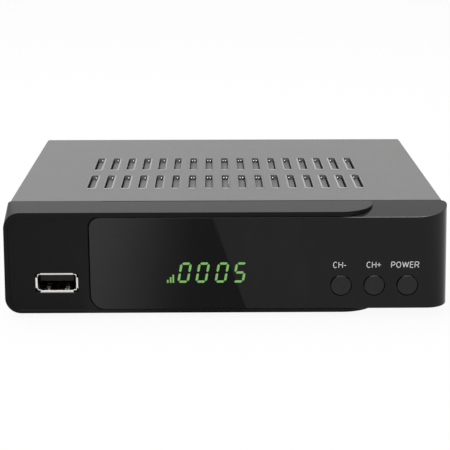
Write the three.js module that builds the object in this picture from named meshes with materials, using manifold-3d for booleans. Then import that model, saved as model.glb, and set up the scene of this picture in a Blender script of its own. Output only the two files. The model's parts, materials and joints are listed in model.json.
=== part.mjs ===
// Satellite television receiver: a vented sheet-steel case behind a moulded two-piece front.
// Millimetres, +Z up, front towards -Y. The origin is the centre of the box round the whole
// receiver, at the height of the table that its feet stand on.
import * as THREE from "three";
import { mergeVertices } from "three/addons/utils/BufferGeometryUtils.js";
import Module from "manifold-3d";

const wasm = await Module();
wasm.setup();

// Steel case
const caseWidth = 144;
const caseDepth = 100;
const caseHeight = 34.2;
const sheet = 0.8;
const bendRadius = 1.2;
const footHeight = 3;
const footRadius = 6;
const footTaper = 0.8;
const footInset = 16;
const footEndInset = 20;
const footGap = 1.2;

// Clearances
const seatGap = 0.05;
const fitGap = 0.3;
const panelGap = 0.2;
const coverJoint = 0.15;
const overrun = 1;

// Front frame: a sleeve open to the right, blended from a square back to a rounded front
const bezelDepth = 12.4;
const bezelDrop = 1;
const frameTopFall = 0.8;
const frameFlare = 1.3;
const frameRearStep = 0.3;
const frameDraft = 0.35;
const frameCorner = 5.4;
const frameRearCorner = 1;
const frameWall = 1.6;
const frameRim = 1.5;
const recessDepth = 0.4;
const recessCorner = 3.9;
const stripInset = 23.2;
const stripCorner = 10.3;

// Front panel: a gloss shell nested in the frame, wrapping the right end
const panelFromSocket = 11.15;
const panelRise = 1.2;
const panelFrontFall = 1.8;
const panelRearFall = 0.6;
const panelWall = 1.8;
const panelTopCorner = 10.5;
const panelBottomCorner = 7.5;
const panelTopFlare = 1;
const panelBottomFlare = 1.65;
const panelTailRun = 2;
const panelTailStep = 0.25;
const panelUpperLeftCorner = 3.5;
const panelLowerLeftCorner = 5;

// Lips that locate the cover, and tabs that screw to the floor of the case
const lipReach = 3;
const lipWall = 1;
const lipRoot = 4;
const lipInset = 5;
const tabWidth = 16;
const tabReach = 12;
const tabRoot = 5;
const tabWall = 1.6;
const tabInset = 16;

// Louvres in the cover: stadium slots with a pressed tongue hinged at the front
const louvreCount = 17;
const louvrePitch = 5.88;
const louvreWidth = 2.8;
const louvreLength = 20;
const louvreFrontRow = 26.5;
const louvreRearRow = 54.7;
const louvreStep = 1;
const louvreStepRun = 1.6;
const louvreDrop = 1.9;
const louvreShear = 0.1;
const louvreHinge = 0.4;
const louvreSink = 0.06;
const louvreHingeCorner = 0.5;

// Slots in the floor of the case
const floorSlotCount = 10;
const floorSlotPitch = 9;
const floorSlotWidth = 3;
const floorSlotLength = 18;
const floorSlotFirst = 38;
const floorSlotRowGap = 14;

// Screws
const screwShank = 1.4;
const screwHead = 2.8;
const screwHeadHeight = 1.6;
const screwClearance = 0.15;
const screwLength = 5;
const tabScrewPast = 0.35;
const flangeHeight = 12;
const sideScrewHeight = 8;
const sideScrewFirst = 22;
const sideScrewRear = 12;

// Push buttons and the switches behind them
const buttonRadius = 3.3;
const buttonProud = 0.3;
const buttonHeight = 11.24;
const buttonInset = 12.25;
const buttonPitch = 11;
const buttonGap = 0.3;
const buttonFlangeReach = 0.6;
const buttonFlangeWall = 1;
const buttonDish = 0.15;
const buttonEdge = 0.25;
const stemRadius = 1.5;
const switchSize = 6;
const switchDepth = 3.5;
const plungerRadius = 1.7;
const plungerReach = 1;
const plungerSunk = 1.4;
const switchBoreDepth = 2.4;

// Display
const digitHeight = 7.25;
const digitWidth = 3.5;
const digitSlant = 1.15;
const digitStroke = 0.85;
const digitPitch = 5.87;
const colonSpace = 0.4;
const digitShare = 0.484;
const digitBase = 12.25;
const segmentSunk = 0.3;
const segmentGap = 0.12;
const signalBars = 4;
const barPitch = 0.72;
const barWidth = 0.45;
const barRise = 0.8;
const barSpace = 4.05;
const displayMargin = 1.8;
const displayEdge = 1.5;
const displayDepth = 8;
const displayFaceGap = 0.6;

// Front circuit board
const boardThickness = 1.6;
const frontBoardEdge = 3.2;
const frontBoardEnd = 4.1;
const postRadius = 2.4;
const postInset = 4.2;
const infraredWidth = 5.6;
const infraredHeight = 7;
const infraredDepth = 4.6;
const infraredLens = 2.2;
const infraredBase = 13;

// Socket for a memory stick
const usbWidth = 12.5;
const usbHeight = 5.12;
const usbWall = 0.3;
const usbInset = 15.75;
const usbLevel = 12.44;
const usbLength = 14;
const usbFace = 0.9;
const usbFlare = 0.65;
const usbCorner = 0.6;
const usbFlapLong = 10.9;
const usbFlapShort = 3.6;
const usbMargin = 0.35;
const usbOpeningCorner = 1.2;
const usbTongueSideGap = 0.7;
const usbTongueWall = 1.85;
const usbTongueDrop = 0.5;
const usbTongueInset = 1.6;
const usbBack = 2;
const usbContactWidth = 1;
const usbContactProud = 0.15;
const usbContactStart = 0.6;
const usbContactEdge = 3.5;
const usbContactInner = 1;

// Main circuit board
const mainSideGap = 4.9;
const mainFront = 18;
const mainRearGap = 1.1;
const mainTongueFront = 3.2;
const standoffTop = 2.8;
const standoffBase = 4.4;
const standoffInset = 6;
const standoffFrontInset = 22;
const standoffTunerGap = 5;

// Rear wall and its sockets
const rearInset = 1;
const lnbPitch = 15;
const lnbLevel = 7.6;
const lnbRadius = 4.75;
const lnbReach = 9.6;
const lnbBoreRadius = 3.1;
const lnbBoreDepth = 1.4;
const lnbContactRadius = 0.6;
const lnbContactDepth = 6;
const lnbFlangeRadius = 5.8;
const lnbFlangeWall = 0.9;
const nutRim = 0.75;
const nutWall = 2;
const tunerMargin = 7.5;
const tunerDepth = 34;
const tunerHeight = 14;
const tunerWall = 0.5;
const tunerLip = 1.5;
const hdmiWidth = 14.2;
const hdmiHeight = 4.6;
const hdmiWall = 0.4;
const hdmiDepth = 11;
const hdmiBevel = 1.6;
const hdmiLift = 0.5;
const hdmiTongueWidth = 10;
const hdmiTongueWall = 1.2;
const scartWidth = 46;
const scartHeight = 16;
const scartDepth = 14;
const scartReach = 3.2;
const scartWall = 1.5;
const scartSlope = 4;
const scartWellDepth = 9;
const scartCoreInset = 2;
const scartLift = 0.6;
const scartSlotWidth = 0.9;
const scartSlotHeightShare = 0.35;
const scartSlotDepth = 5;
const scartSlotCount = 10;
const powerLevel = 5.6;
const powerBore = 3.1;
const powerPin = 1.05;
const powerWidth = 9;
const powerHeight = 11;
const powerDepth = 13;
const powerBoreDepth = 9;
const powerNose = 4.1;

// Parts on the main board
const chipSize = 17;
const chipHeight = 1.4;
const chipAcrossShare = -0.09;
const chipAlongShare = 0.44;
const sinkSize = 24;
const sinkBase = 2;
const sinkHeight = 9;
const finCount = 8;
const finWall = 1;
const memoryWidth = 9;
const memoryLength = 13;
const memoryHeight = 1.1;
const memoryGap = 7;
const capacitorRadius = 3.2;
const capacitorHeight = 11;
const capacitorCollar = 0.3;
const coilSize = 7;
const coilHeight = 4;
const headerWidth = 15;
const headerDepth = 3;
const headerHeight = 4;
const ribbonWidth = 12;
const ribbonWall = 0.5;
const ribbonRun = 2.35;
const ribbonBend = 4;
const ribbonShare = 0.39;
const ribbonTop = 22;

// Facets
const arcSteps = 6;
const roundSides = 24;
const socketSides = 16;
const smallSides = 12;
const screwSides = 10;
const slotSteps = 2;
const tipSteps = 5;

// Levels and planes worked out from the sizes above
const caseBottom = footHeight;
const caseTop = caseBottom + caseHeight;
const caseHalf = caseWidth / 2;
const coverFront = bezelDepth;
const coverRear = coverFront + caseDepth;
const rearFace = coverRear - rearInset;
const rearInner = rearFace - sheet;
const rearReach = rearFace + lnbReach;
const floorTop = caseBottom + sheet;
const underCover = caseTop - sheet;
const insideHalf = caseHalf - sheet - fitGap;
const bezelBottom = caseBottom - bezelDrop;
const bezelRear = bezelDepth - coverJoint;
const frameFrontTop = caseTop - frameTopFall;
const stripEnd = caseHalf - stripInset;
const tabCentre = caseHalf - tabInset;
const tabHole = bezelDepth + tabReach / 2;
const usbPlace = -(caseHalf - usbInset);
const panelLeft = usbPlace + panelFromSocket;
const panelBottom = bezelBottom + panelRise;
const panelFrontTop = frameFrontTop - panelFrontFall;
const panelRearTop = caseTop - panelRearFall;

const buttonHole = buttonRadius + buttonGap;
const buttonFlange = buttonHole + buttonFlangeReach;
const buttonLast = caseHalf - buttonInset;
const buttonFirst = buttonLast - 2 * buttonPitch;
const digitMiddle = THREE.MathUtils.lerp(panelLeft, buttonFirst, digitShare);
const digitFirst = digitMiddle - (3 * digitPitch + colonSpace) / 2;
const digitLast = digitMiddle + (3 * digitPitch + colonSpace) / 2;
const barFirst = digitFirst - digitWidth / 2 - barSpace;
const displayLeft = barFirst - displayMargin;
const displayRight = digitLast + (digitWidth + digitSlant) / 2 + displayMargin;
const displayBase = digitBase - displayEdge;
const displayTop = digitBase + digitHeight + displayEdge;
const displayFace = panelWall + displayFaceGap;
const infraredPlace = (displayRight + buttonFirst - buttonFlange) / 2;
const frontBoardFace = displayFace + displayDepth + seatGap;
const frontBoardBack = frontBoardFace + boardThickness;
const frontBoardLeft = panelLeft + frontBoardEnd;
const frontBoardRight = caseHalf - frontBoardEnd;
const frontBoardBase = panelBottom + frontBoardEdge;
const frontBoardTop = panelFrontTop - frontBoardEdge;

const mainTop = usbLevel - usbHeight / 2 - usbWall - seatGap;
const mainBottom = mainTop - boardThickness;
const mainHalf = insideHalf - mainSideGap;
const mainRear = rearInner - mainRearGap;
const mainTongueRight = panelLeft - panelGap - fitGap;
const ribbonPlace = ribbonShare * mainHalf;
const chipAcross = chipAcrossShare * mainHalf;
const chipAlong = THREE.MathUtils.lerp(mainFront, mainRear, chipAlongShare);

// Sockets stand along the rear wall with equal gaps, from the power inlet to the tuner
const tunerWidth = lnbPitch + 2 * tunerMargin;
const rearWidths = [powerWidth, scartWidth, hdmiWidth + 2 * hdmiWall, tunerWidth];
const rearGap = (2 * mainHalf - rearWidths.reduce((sum, width) => sum + width)) / (rearWidths.length + 1);
const [powerPlace, scartPlace, hdmiPlace, tunerPlace] = rearWidths.map((width, i) => {
  const before = rearWidths.slice(0, i).reduce((sum, each) => sum + each + rearGap, rearGap);
  return before + width / 2 - mainHalf;
});
const lnbOut = tunerPlace - lnbPitch / 2;
const lnbIn = tunerPlace + lnbPitch / 2;
const lnbHeight = mainTop + lnbLevel;
const flangeBack = rearInner - seatGap - lnbFlangeWall;
const tunerBack = flangeBack - seatGap;
const tunerFront = tunerBack - tunerDepth - tunerWall;

// Materials
function plain(color, roughness, metalness) {
  return new THREE.MeshStandardMaterial({ color, roughness, metalness });
}

const steelPaint = plain(0x8a8a8a, 0.55, 0.1);
const zincSteel = plain(0xb4b6b8, 0.4, 0.9);
const satinBlack = plain(0x232324, 0.5, 0);
const glossBlack = plain(0x18181a, 0.12, 0);
const nickel = plain(0xcfccc6, 0.25, 1);
const blackPlastic = plain(0x1b1b1b, 0.6, 0);
const rubber = plain(0x151515, 0.9, 0);
const boardGreen = plain(0x1f5a33, 0.5, 0);
const boardBrown = plain(0xb08a4e, 0.6, 0);
const displayGrey = plain(0x2c2c2e, 0.6, 0);
const chipBlack = plain(0x262626, 0.5, 0);
const sinkMetal = plain(0x2f3133, 0.4, 0.8);
const capacitorSleeve = plain(0x1d2a4a, 0.4, 0);
const ferrite = plain(0x3b3b3d, 0.7, 0.1);
const ribbonGrey = plain(0xd8d6cf, 0.6, 0);
const infraredSmoke = plain(0x1a1520, 0.2, 0);
const creamPlastic = plain(0xe6e0d0, 0.6, 0);

// Solids from three.js geometry
function solid(geometry) {
  const bare = geometry.clone();
  bare.deleteAttribute("normal");
  bare.deleteAttribute("uv");
  const welded = mergeVertices(bare);
  const index = welded.index.array;
  const triangles = [];
  for (let i = 0; i < index.length; i += 3) {
    const [a, b, c] = [index[i], index[i + 1], index[i + 2]];
    if (a !== b && b !== c && c !== a) triangles.push(a, b, c);
  }
  const mesh = new wasm.Mesh({
    numProp: 3,
    vertProperties: Float32Array.from(welded.attributes.position.array),
    triVerts: Uint32Array.from(triangles),
  });
  return new wasm.Manifold(mesh);
}

function joined(solids) {
  return solids.reduce((whole, next) => whole.add(next));
}

function cut(body, cutters) {
  return cutters.reduce((rest, cutter) => rest.subtract(cutter), body);
}

function block([x0, x1], [y0, y1], [z0, z1]) {
  const geometry = new THREE.BoxGeometry(x1 - x0, y1 - y0, z1 - z0);
  return solid(geometry.translate((x0 + x1) / 2, (y0 + y1) / 2, (z0 + z1) / 2));
}

function rodAlongY(radius, x, z, [y0, y1], sides = roundSides, endRadius = radius) {
  const geometry = new THREE.CylinderGeometry(endRadius, radius, y1 - y0, sides);
  return solid(geometry.translate(x, (y0 + y1) / 2, z));
}

function rodAlongZ(radius, x, y, [z0, z1], sides = roundSides, topRadius = radius) {
  const geometry = new THREE.CylinderGeometry(topRadius, radius, z1 - z0, sides);
  return solid(geometry.rotateX(Math.PI / 2).translate(x, y, (z0 + z1) / 2));
}

function rodAlongX(radius, y, z, [x0, x1], sides = smallSides) {
  const geometry = new THREE.CylinderGeometry(radius, radius, x1 - x0, sides);
  return solid(geometry.rotateZ(Math.PI / 2).translate((x0 + x1) / 2, y, z));
}

function extruded(shape, depth) {
  return new THREE.ExtrudeGeometry(shape, { depth, bevelEnabled: false, curveSegments: arcSteps });
}

// A shape drawn in X and Z, extruded along Y
function prismAlongY(shape, [y0, y1]) {
  return solid(extruded(shape, y1 - y0).rotateX(Math.PI / 2).translate(0, y1, 0));
}

// A shape drawn in X and Y, extruded along Z
function prismAlongZ(shape, [z0, z1]) {
  return solid(extruded(shape, z1 - z0).translate(0, 0, z0));
}

// A shape drawn in Y and Z, extruded along X
function prismAlongX(shape, [x0, x1]) {
  const turn = new THREE.Matrix4().makeBasis(
    new THREE.Vector3(0, 1, 0),
    new THREE.Vector3(0, 0, 1),
    new THREE.Vector3(1, 0, 0),
  );
  return solid(extruded(shape, x1 - x0).applyMatrix4(turn).translate(x0, 0, 0));
}

function outline(points) {
  return new THREE.Shape(points.map(([u, v]) => new THREE.Vector2(u, v)));
}

// Points of a quarter turn, or any arc, about a centre
function arc(u, v, radius, from, to, steps = arcSteps) {
  if (radius === 0) return [[u, v]];
  const points = [];
  for (let i = 0; i <= steps; i += 1) {
    const angle = from + ((to - from) * i) / steps;
    points.push([u + radius * Math.cos(angle), v + radius * Math.sin(angle)]);
  }
  return points;
}

const quarter = Math.PI / 2;

// A rectangle whose four corners take their own radius, from lower left anticlockwise
function roundedOutline([u0, u1], [v0, v1], [lowLeft, lowRight, highRight, highLeft], steps = arcSteps) {
  return outline([
    ...arc(u0 + lowLeft, v0 + lowLeft, lowLeft, 2 * quarter, 3 * quarter, steps),
    ...arc(u1 - lowRight, v0 + lowRight, lowRight, 3 * quarter, 4 * quarter, steps),
    ...arc(u1 - highRight, v1 - highRight, highRight, 0, quarter, steps),
    ...arc(u0 + highLeft, v1 - highLeft, highLeft, quarter, 2 * quarter, steps),
  ]);
}

function evenCorners(radius) {
  return [radius, radius, radius, radius];
}

// A closed skin through rings of equal count, each ring convex and flat
function loft(rings) {
  const count = rings[0].length;
  const positions = rings.flat(2);
  const index = [];
  for (let r = 0; r + 1 < rings.length; r += 1) {
    for (let i = 0; i < count; i += 1) {
      const a = r * count + i;
      const b = r * count + ((i + 1) % count);
      index.push(a, b, b + count, a, b + count, a + count);
    }
  }
  const last = (rings.length - 1) * count;
  for (let i = 1; i + 1 < count; i += 1) {
    index.push(0, i + 1, i, last, last + i, last + i + 1);
  }
  const geometry = new THREE.BufferGeometry();
  geometry.setAttribute("position", new THREE.Float32BufferAttribute(positions, 3));
  geometry.setIndex(index);
  return solid(geometry);
}

// Front frame
function frameRing(y) {
  const share = y / bezelDepth;
  const side = caseHalf + THREE.MathUtils.lerp(frameFlare, frameRearStep, share);
  const radius = THREE.MathUtils.lerp(frameCorner, frameRearCorner, share);
  const top = THREE.MathUtils.lerp(frameFrontTop, caseTop, share);
  const middle = (bezelBottom + top) / 2;
  const draft = (1 - share) * frameDraft;
  const points = [
    ...arc(-side + radius, top - radius, radius, quarter, 2 * quarter),
    ...arc(-side + radius, bezelBottom + radius, radius, 2 * quarter, 3 * quarter),
    [stripEnd + overrun, bezelBottom],
    [stripEnd + overrun, top],
  ];
  return points.map(([x, z]) => {
    const lean = x < 0 ? (draft * (z - middle)) / (middle - bezelBottom) : 0;
    return [x + lean, y, z];
  });
}

function framePlan() {
  const past = caseHalf + frameFlare + overrun;
  return outline([
    [-past, -overrun],
    [stripEnd - stripCorner, -overrun],
    ...arc(stripEnd - stripCorner, stripCorner, stripCorner, -quarter, 0, 2 * arcSteps),
    [stripEnd, bezelDepth + overrun],
    [-past, bezelDepth + overrun],
  ]);
}

// The block that a lip needs: a root in the bezel wall and a tongue under the steel
function sideLip(sign) {
  const reach = [bezelRear - lipRoot, bezelDepth + lipReach];
  const outer = insideHalf;
  const tall = [panelBottom + lipInset, panelFrontTop - lipInset];
  const tongue = [outer - lipWall, outer].map((x) => sign * x).sort((a, b) => a - b);
  const root = [outer - lipWall, caseHalf - fitGap].map((x) => sign * x).sort((a, b) => a - b);
  return block(tongue, reach, tall).add(block(root, [reach[0], bezelRear], tall));
}

function floorTab(x) {
  const across = [x - tabWidth / 2, x + tabWidth / 2];
  const level = [floorTop + seatGap, floorTop + tabWall + seatGap];
  const plate = block(across, [bezelRear - tabRoot, bezelDepth + tabReach], level);
  const root = block(across, [bezelRear - tabRoot, bezelRear], [panelBottom, level[1]]);
  const hole = rodAlongZ(screwShank, x, tabHole, [bezelBottom, level[1] + overrun], smallSides);
  return { body: plate.add(root), hole };
}

function frontFrame() {
  const outer = loft([frameRing(bezelRear), frameRing(0)]);
  const kept = prismAlongZ(framePlan(), [bezelBottom - overrun, caseTop + overrun]);
  const left = -(caseHalf - frameWall + frameRearStep);
  const inner = [bezelBottom + frameWall, frameFrontTop - frameWall];
  const cavity = block(
    [left, panelLeft - panelGap],
    [recessDepth + frameWall, bezelDepth + overrun],
    inner,
  );
  const recessTop = panelFrontTop + panelGap;
  const recess = prismAlongY(
    roundedOutline(
      [-(caseHalf + frameFlare - frameRim), panelLeft + panelUpperLeftCorner * 2],
      [panelBottom - panelGap, recessTop],
      [recessCorner, 0, 0, recessCorner],
    ),
    [-overrun, recessDepth],
  );
  const halfUsb = usbWidth / 2 + usbWall + usbFlare + usbMargin;
  const halfUsbHeight = usbHeight / 2 + usbWall + usbFlare + usbMargin;
  const usbHole = prismAlongY(
    roundedOutline(
      [usbPlace - halfUsb, usbPlace + halfUsb],
      [usbLevel - halfUsbHeight, usbLevel + halfUsbHeight],
      evenCorners(usbOpeningCorner),
    ),
    [-overrun, recessDepth + frameWall + overrun],
  );
  const tab = floorTab(-tabCentre);
  const nest = panelBody(-panelGap, bezelDepth + overrun);
  const shell = cut(outer.intersect(kept), [cavity, recess, nest, usbHole]);
  return cut(joined([shell, sideLip(-1), tab.body]), [tab.hole]);
}

// Front panel, drawn in plan and blended from its lower outline to its upper one
function panelRing(z, inset) {
  const share = (z - panelBottom) / (panelRearTop - panelBottom);
  const side = caseHalf + THREE.MathUtils.lerp(panelBottomFlare, panelTopFlare, share) - inset;
  const radius = THREE.MathUtils.lerp(panelBottomCorner, panelTopCorner, share) - inset;
  const tail = caseHalf + panelTailStep - inset;
  const past = bezelDepth + 3 * overrun;
  const points = [
    [panelLeft + inset, past],
    [panelLeft + inset, inset],
    ...arc(side - radius, inset + radius, radius, -quarter, 0, 2 * arcSteps),
    [side, bezelRear - panelTailRun],
    [tail, bezelRear],
    [tail, past],
  ];
  return points.map(([x, y]) => [x, y, z]);
}

function panelTopAt(y, inset) {
  return THREE.MathUtils.lerp(panelFrontTop, panelRearTop, y / bezelDepth) - inset;
}

// The panel's outer body moved inwards by the inset, and ended at the back
function panelBody(inset, back) {
  const low = panelBottom + inset;
  const high = panelRearTop + overrun;
  const right = caseHalf + panelBottomFlare + 2 * overrun;
  const left = panelLeft + inset;
  const body = loft([panelRing(low, inset), panelRing(high, inset)]);
  const slope = outline([
    [-overrun, low - overrun],
    [back, low - overrun],
    [back, panelTopAt(back, inset)],
    [-overrun, panelTopAt(-overrun, inset)],
  ]);
  const corners = [panelLowerLeftCorner - inset, 0, 0, panelUpperLeftCorner - inset];
  const face = roundedOutline([left, right], [low, panelFrontTop - inset], corners);
  const above = block(
    [left + panelUpperLeftCorner, right],
    [-overrun, back],
    [panelFrontTop - inset - overrun, high + overrun],
  );
  const ended = prismAlongX(slope, [left - overrun, right]);
  return body.intersect(ended).intersect(prismAlongY(face, [-overrun, back]).add(above));
}

function buttonPlaces() {
  return [buttonFirst, buttonFirst + buttonPitch, buttonLast];
}

function postPlaces() {
  const low = frontBoardBase + postInset;
  const high = frontBoardTop - postInset;
  return [
    [frontBoardLeft + postInset, low],
    [frontBoardLeft + postInset, high],
    [frontBoardRight - postInset, high],
  ];
}

function frontPanel() {
  const pilot = [frontBoardFace - screwLength, frontBoardFace];
  const posts = postPlaces().map(([x, z]) => {
    const post = rodAlongY(postRadius, x, z, [panelWall - seatGap, frontBoardFace - seatGap], smallSides);
    return post.subtract(rodAlongY(screwShank, x, z, pilot, smallSides));
  });
  const holes = buttonPlaces().map((x) => {
    return rodAlongY(buttonHole, x, buttonHeight, [-overrun, panelWall + overrun]);
  });
  const tab = floorTab(tabCentre);
  const lipTop = underCover - fitGap;
  const topLip = block(
    [frontBoardLeft, frontBoardRight],
    [bezelRear - panelWall, bezelDepth + lipReach],
    [lipTop - lipWall, lipTop],
  );
  const shell = panelBody(0, bezelRear).subtract(panelBody(panelWall, bezelDepth + overrun));
  return cut(joined([shell, ...posts, topLip, sideLip(1), tab.body]), [...holes, tab.hole]);
}

// Buttons: a dished cap, a flange that holds it behind the panel, and a stem to the switch
function pushButton() {
  const flangeFront = panelWall + seatGap;
  const stemEnd = frontBoardFace - switchDepth - plungerReach - seatGap;
  const profile = [
    [0, -buttonProud + buttonDish],
    [buttonRadius - 2 * buttonEdge, -buttonProud],
    [buttonRadius - buttonEdge, -buttonProud],
    [buttonRadius, -buttonProud + buttonEdge],
    [buttonRadius, flangeFront],
    [buttonFlange, flangeFront],
    [buttonFlange, flangeFront + buttonFlangeWall],
    [stemRadius, flangeFront + buttonFlangeWall],
    [stemRadius, stemEnd],
    [0, stemEnd],
  ];
  return turned(profile);
}

// A profile of radius and place along Y, turned about that axis
function turned(profile, sides = roundSides) {
  const points = profile.map(([r, y]) => new THREE.Vector2(r, y));
  return solid(new THREE.LatheGeometry(points, sides));
}

function plunger() {
  const face = frontBoardFace - switchDepth;
  return rodAlongY(plungerRadius, 0, 0, [face - plungerReach, face + plungerSunk], smallSides);
}

function switchHousing() {
  const face = frontBoardFace - switchDepth;
  const half = switchSize / 2;
  const body = block([-half, half], [face, frontBoardFace - seatGap], [-half, half]);
  return body.subtract(rodAlongY(plungerRadius + fitGap, 0, 0, [face - overrun, face + switchBoreDepth]));
}

// Seven segments as mitred bars, in shares of a digit's width and height
const segmentShares = [
  { from: [0, 1], to: [1, 1] },
  { from: [1, 1], to: [1, 0.5] },
  { from: [1, 0.5], to: [1, 0] },
  { from: [0, 0], to: [1, 0] },
  { from: [0, 0.5], to: [0, 0] },
  { from: [0, 1], to: [0, 0.5] },
  { from: [0, 0.5], to: [1, 0.5] },
];

function digitPlaces() {
  return [0, 1, 2, 3].map((step) => digitFirst + step * digitPitch + (step > 1 ? colonSpace : 0));
}

function segmentOutline(centre, { from, to }) {
  const half = digitStroke / 2;
  const width = digitWidth - digitStroke;
  const height = digitHeight - digitStroke;
  const place = ([u, v]) => new THREE.Vector2((u - 1 / 2) * width, half + v * height);
  const start = place(from);
  const end = place(to);
  const along = end.clone().sub(start).normalize();
  const across = new THREE.Vector2(-along.y, along.x).multiplyScalar(half);
  const tips = [start.clone().addScaledVector(along, segmentGap), end.clone().addScaledVector(along, -segmentGap)];
  const inner = [tips[0].clone().addScaledVector(along, half), tips[1].clone().addScaledVector(along, -half)];
  const corners = [
    tips[0],
    inner[0].clone().sub(across),
    inner[1].clone().sub(across),
    tips[1],
    inner[1].clone().add(across),
    inner[0].clone().add(across),
  ];
  return outline(
    corners.map((p) => [centre + p.x + (digitSlant * (p.y - digitHeight / 2)) / digitHeight, digitBase + p.y]),
  );
}

// Display block with the windows of its segments and signal bars sunk in its face
function displayModule() {
  const body = block(
    [displayLeft, displayRight],
    [displayFace, frontBoardFace - seatGap],
    [displayBase, displayTop],
  );
  const reach = [displayFace - overrun, displayFace + segmentSunk];
  const windows = digitPlaces().flatMap((centre) => {
    return segmentShares.map((share) => prismAlongY(segmentOutline(centre, share), reach));
  });
  for (let bar = 0; bar < signalBars; bar += 1) {
    const left = barFirst + bar * barPitch;
    windows.push(block([left, left + barWidth], reach, [digitBase, digitBase + (bar + 1) * barRise]));
  }
  return body.subtract(joined(windows));
}

// Front circuit board and what it carries
function frontBoard() {
  const plate = block(
    [frontBoardLeft, frontBoardRight],
    [frontBoardFace, frontBoardBack],
    [frontBoardBase, frontBoardTop],
  );
  const holes = postPlaces().map(([x, z]) => {
    return rodAlongY(screwShank, x, z, [frontBoardFace - overrun, frontBoardBack + overrun], smallSides);
  });
  return cut(plate, holes);
}

// A pan-head screw with the seat of its head at zero and its shank along +Y
function panScrew(shankLength) {
  const crown = screwHeadHeight / 2;
  const profile = [
    [0, -screwHeadHeight],
    [screwHead - crown, -screwHeadHeight],
    [screwHead, -crown],
    [screwHead, 0],
    [screwShank - screwClearance, 0],
    [screwShank - screwClearance, shankLength],
    [0, shankLength],
  ];
  return turned(profile, screwSides);
}

function infraredReceiver() {
  const across = [infraredPlace - infraredWidth / 2, infraredPlace + infraredWidth / 2];
  const level = [infraredBase, infraredBase + infraredHeight];
  const face = frontBoardFace - infraredDepth;
  const body = block(across, [face, frontBoardFace - seatGap], level);
  const lens = new THREE.SphereGeometry(infraredLens, smallSides, smallSides);
  return body.add(solid(lens.translate(infraredPlace, face, (level[0] + level[1]) / 2)));
}

// Socket for a memory stick: a folded shell with four flared flaps, round a contact blade
function usbShell() {
  const front = usbFace + usbFlare;
  const back = usbFace + usbLength;
  const halfIn = usbWidth / 2;
  const highIn = usbHeight / 2;
  const tube = (grow, reach) => {
    return prismAlongY(
      roundedOutline(
        [usbPlace - halfIn - grow, usbPlace + halfIn + grow],
        [usbLevel - highIn - grow, usbLevel + highIn + grow],
        evenCorners(usbCorner),
      ),
      reach,
    );
  };
  const flap = (inner) => [
    [usbFace, inner + usbFlare],
    [front, inner],
    [front + usbWall, inner],
    [front + usbWall, inner + usbWall],
    [front, inner + usbWall],
    [usbFace, inner + usbFlare + usbWall],
  ];
  const across = [usbPlace - usbFlapLong / 2, usbPlace + usbFlapLong / 2];
  const level = [usbLevel - usbFlapShort / 2, usbLevel + usbFlapShort / 2];
  const flaps = [1, -1].flatMap((sign) => [
    prismAlongX(outline(flap(highIn).map(([y, v]) => [y, usbLevel + sign * v])), across),
    prismAlongZ(outline(flap(halfIn).map(([y, u]) => [usbPlace + sign * u, y])), level),
  ]);
  return tube(usbWall, [front, back]).subtract(tube(0, [front - overrun, back + overrun])).add(joined(flaps));
}

function usbBladeLevel() {
  const top = usbLevel + usbHeight / 2 - usbTongueDrop;
  return [top - usbTongueWall, top];
}

// Contact blade with four contacts on its underside, and the block that carries it
function usbTongue() {
  const back = usbFace + usbLength;
  const half = usbWidth / 2 - 2 * seatGap;
  const high = usbHeight / 2 - 2 * seatGap;
  const base = prismAlongY(
    roundedOutline(
      [usbPlace - half, usbPlace + half],
      [usbLevel - high, usbLevel + high],
      evenCorners(usbCorner),
    ),
    [back - usbBack, back],
  );
  const level = usbBladeLevel();
  const reach = [usbFace + usbTongueInset, back - usbBack + seatGap];
  const halfBlade = usbWidth / 2 - usbTongueSideGap;
  const blade = block([usbPlace - halfBlade, usbPlace + halfBlade], reach, level);
  const contacts = [-usbContactEdge, -usbContactInner, usbContactInner, usbContactEdge].map((u) => {
    const across = [usbPlace + u - usbContactWidth / 2, usbPlace + u + usbContactWidth / 2];
    return block(across, [reach[0] + usbContactStart, reach[1]], [level[0] - usbContactProud, level[0] + seatGap]);
  });
  return joined([base, blade, ...contacts]);
}

// Cover: a folded sheet with louvres in two rows
function coverOutline() {
  const outer = bendRadius;
  const inner = bendRadius - sheet;
  return outline([
    [-caseHalf, caseBottom],
    [-caseHalf + sheet, caseBottom],
    ...arc(-caseHalf + sheet + inner, underCover - inner, inner, 2 * quarter, quarter),
    ...arc(caseHalf - sheet - inner, underCover - inner, inner, quarter, 0),
    [caseHalf - sheet, caseBottom],
    [caseHalf, caseBottom],
    ...arc(caseHalf - outer, caseTop - outer, outer, 0, quarter),
    ...arc(-caseHalf + outer, caseTop - outer, outer, quarter, 2 * quarter),
  ]);
}

function louvrePlaces() {
  const middle = (louvreCount - 1) / 2;
  return [louvreFrontRow, louvreRearRow].flatMap((row) => {
    return Array.from({ length: louvreCount }, (_, i) => [(i - middle) * louvrePitch, coverFront + row]);
  });
}

// Square at the hinge in front, round at the back
function louvreOutline(x, y, shrink) {
  const half = louvreWidth / 2 - shrink;
  const front = y - louvreLength / 2;
  const back = y + louvreLength / 2 - shrink;
  const corner = louvreHingeCorner;
  return outline([
    ...arc(x - half + corner, front + corner, corner, 2 * quarter, 3 * quarter, 1),
    ...arc(x + half - corner, front + corner, corner, 3 * quarter, 4 * quarter, 1),
    ...arc(x, back - half, half, 0, 2 * quarter, tipSteps),
  ]);
}

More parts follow.
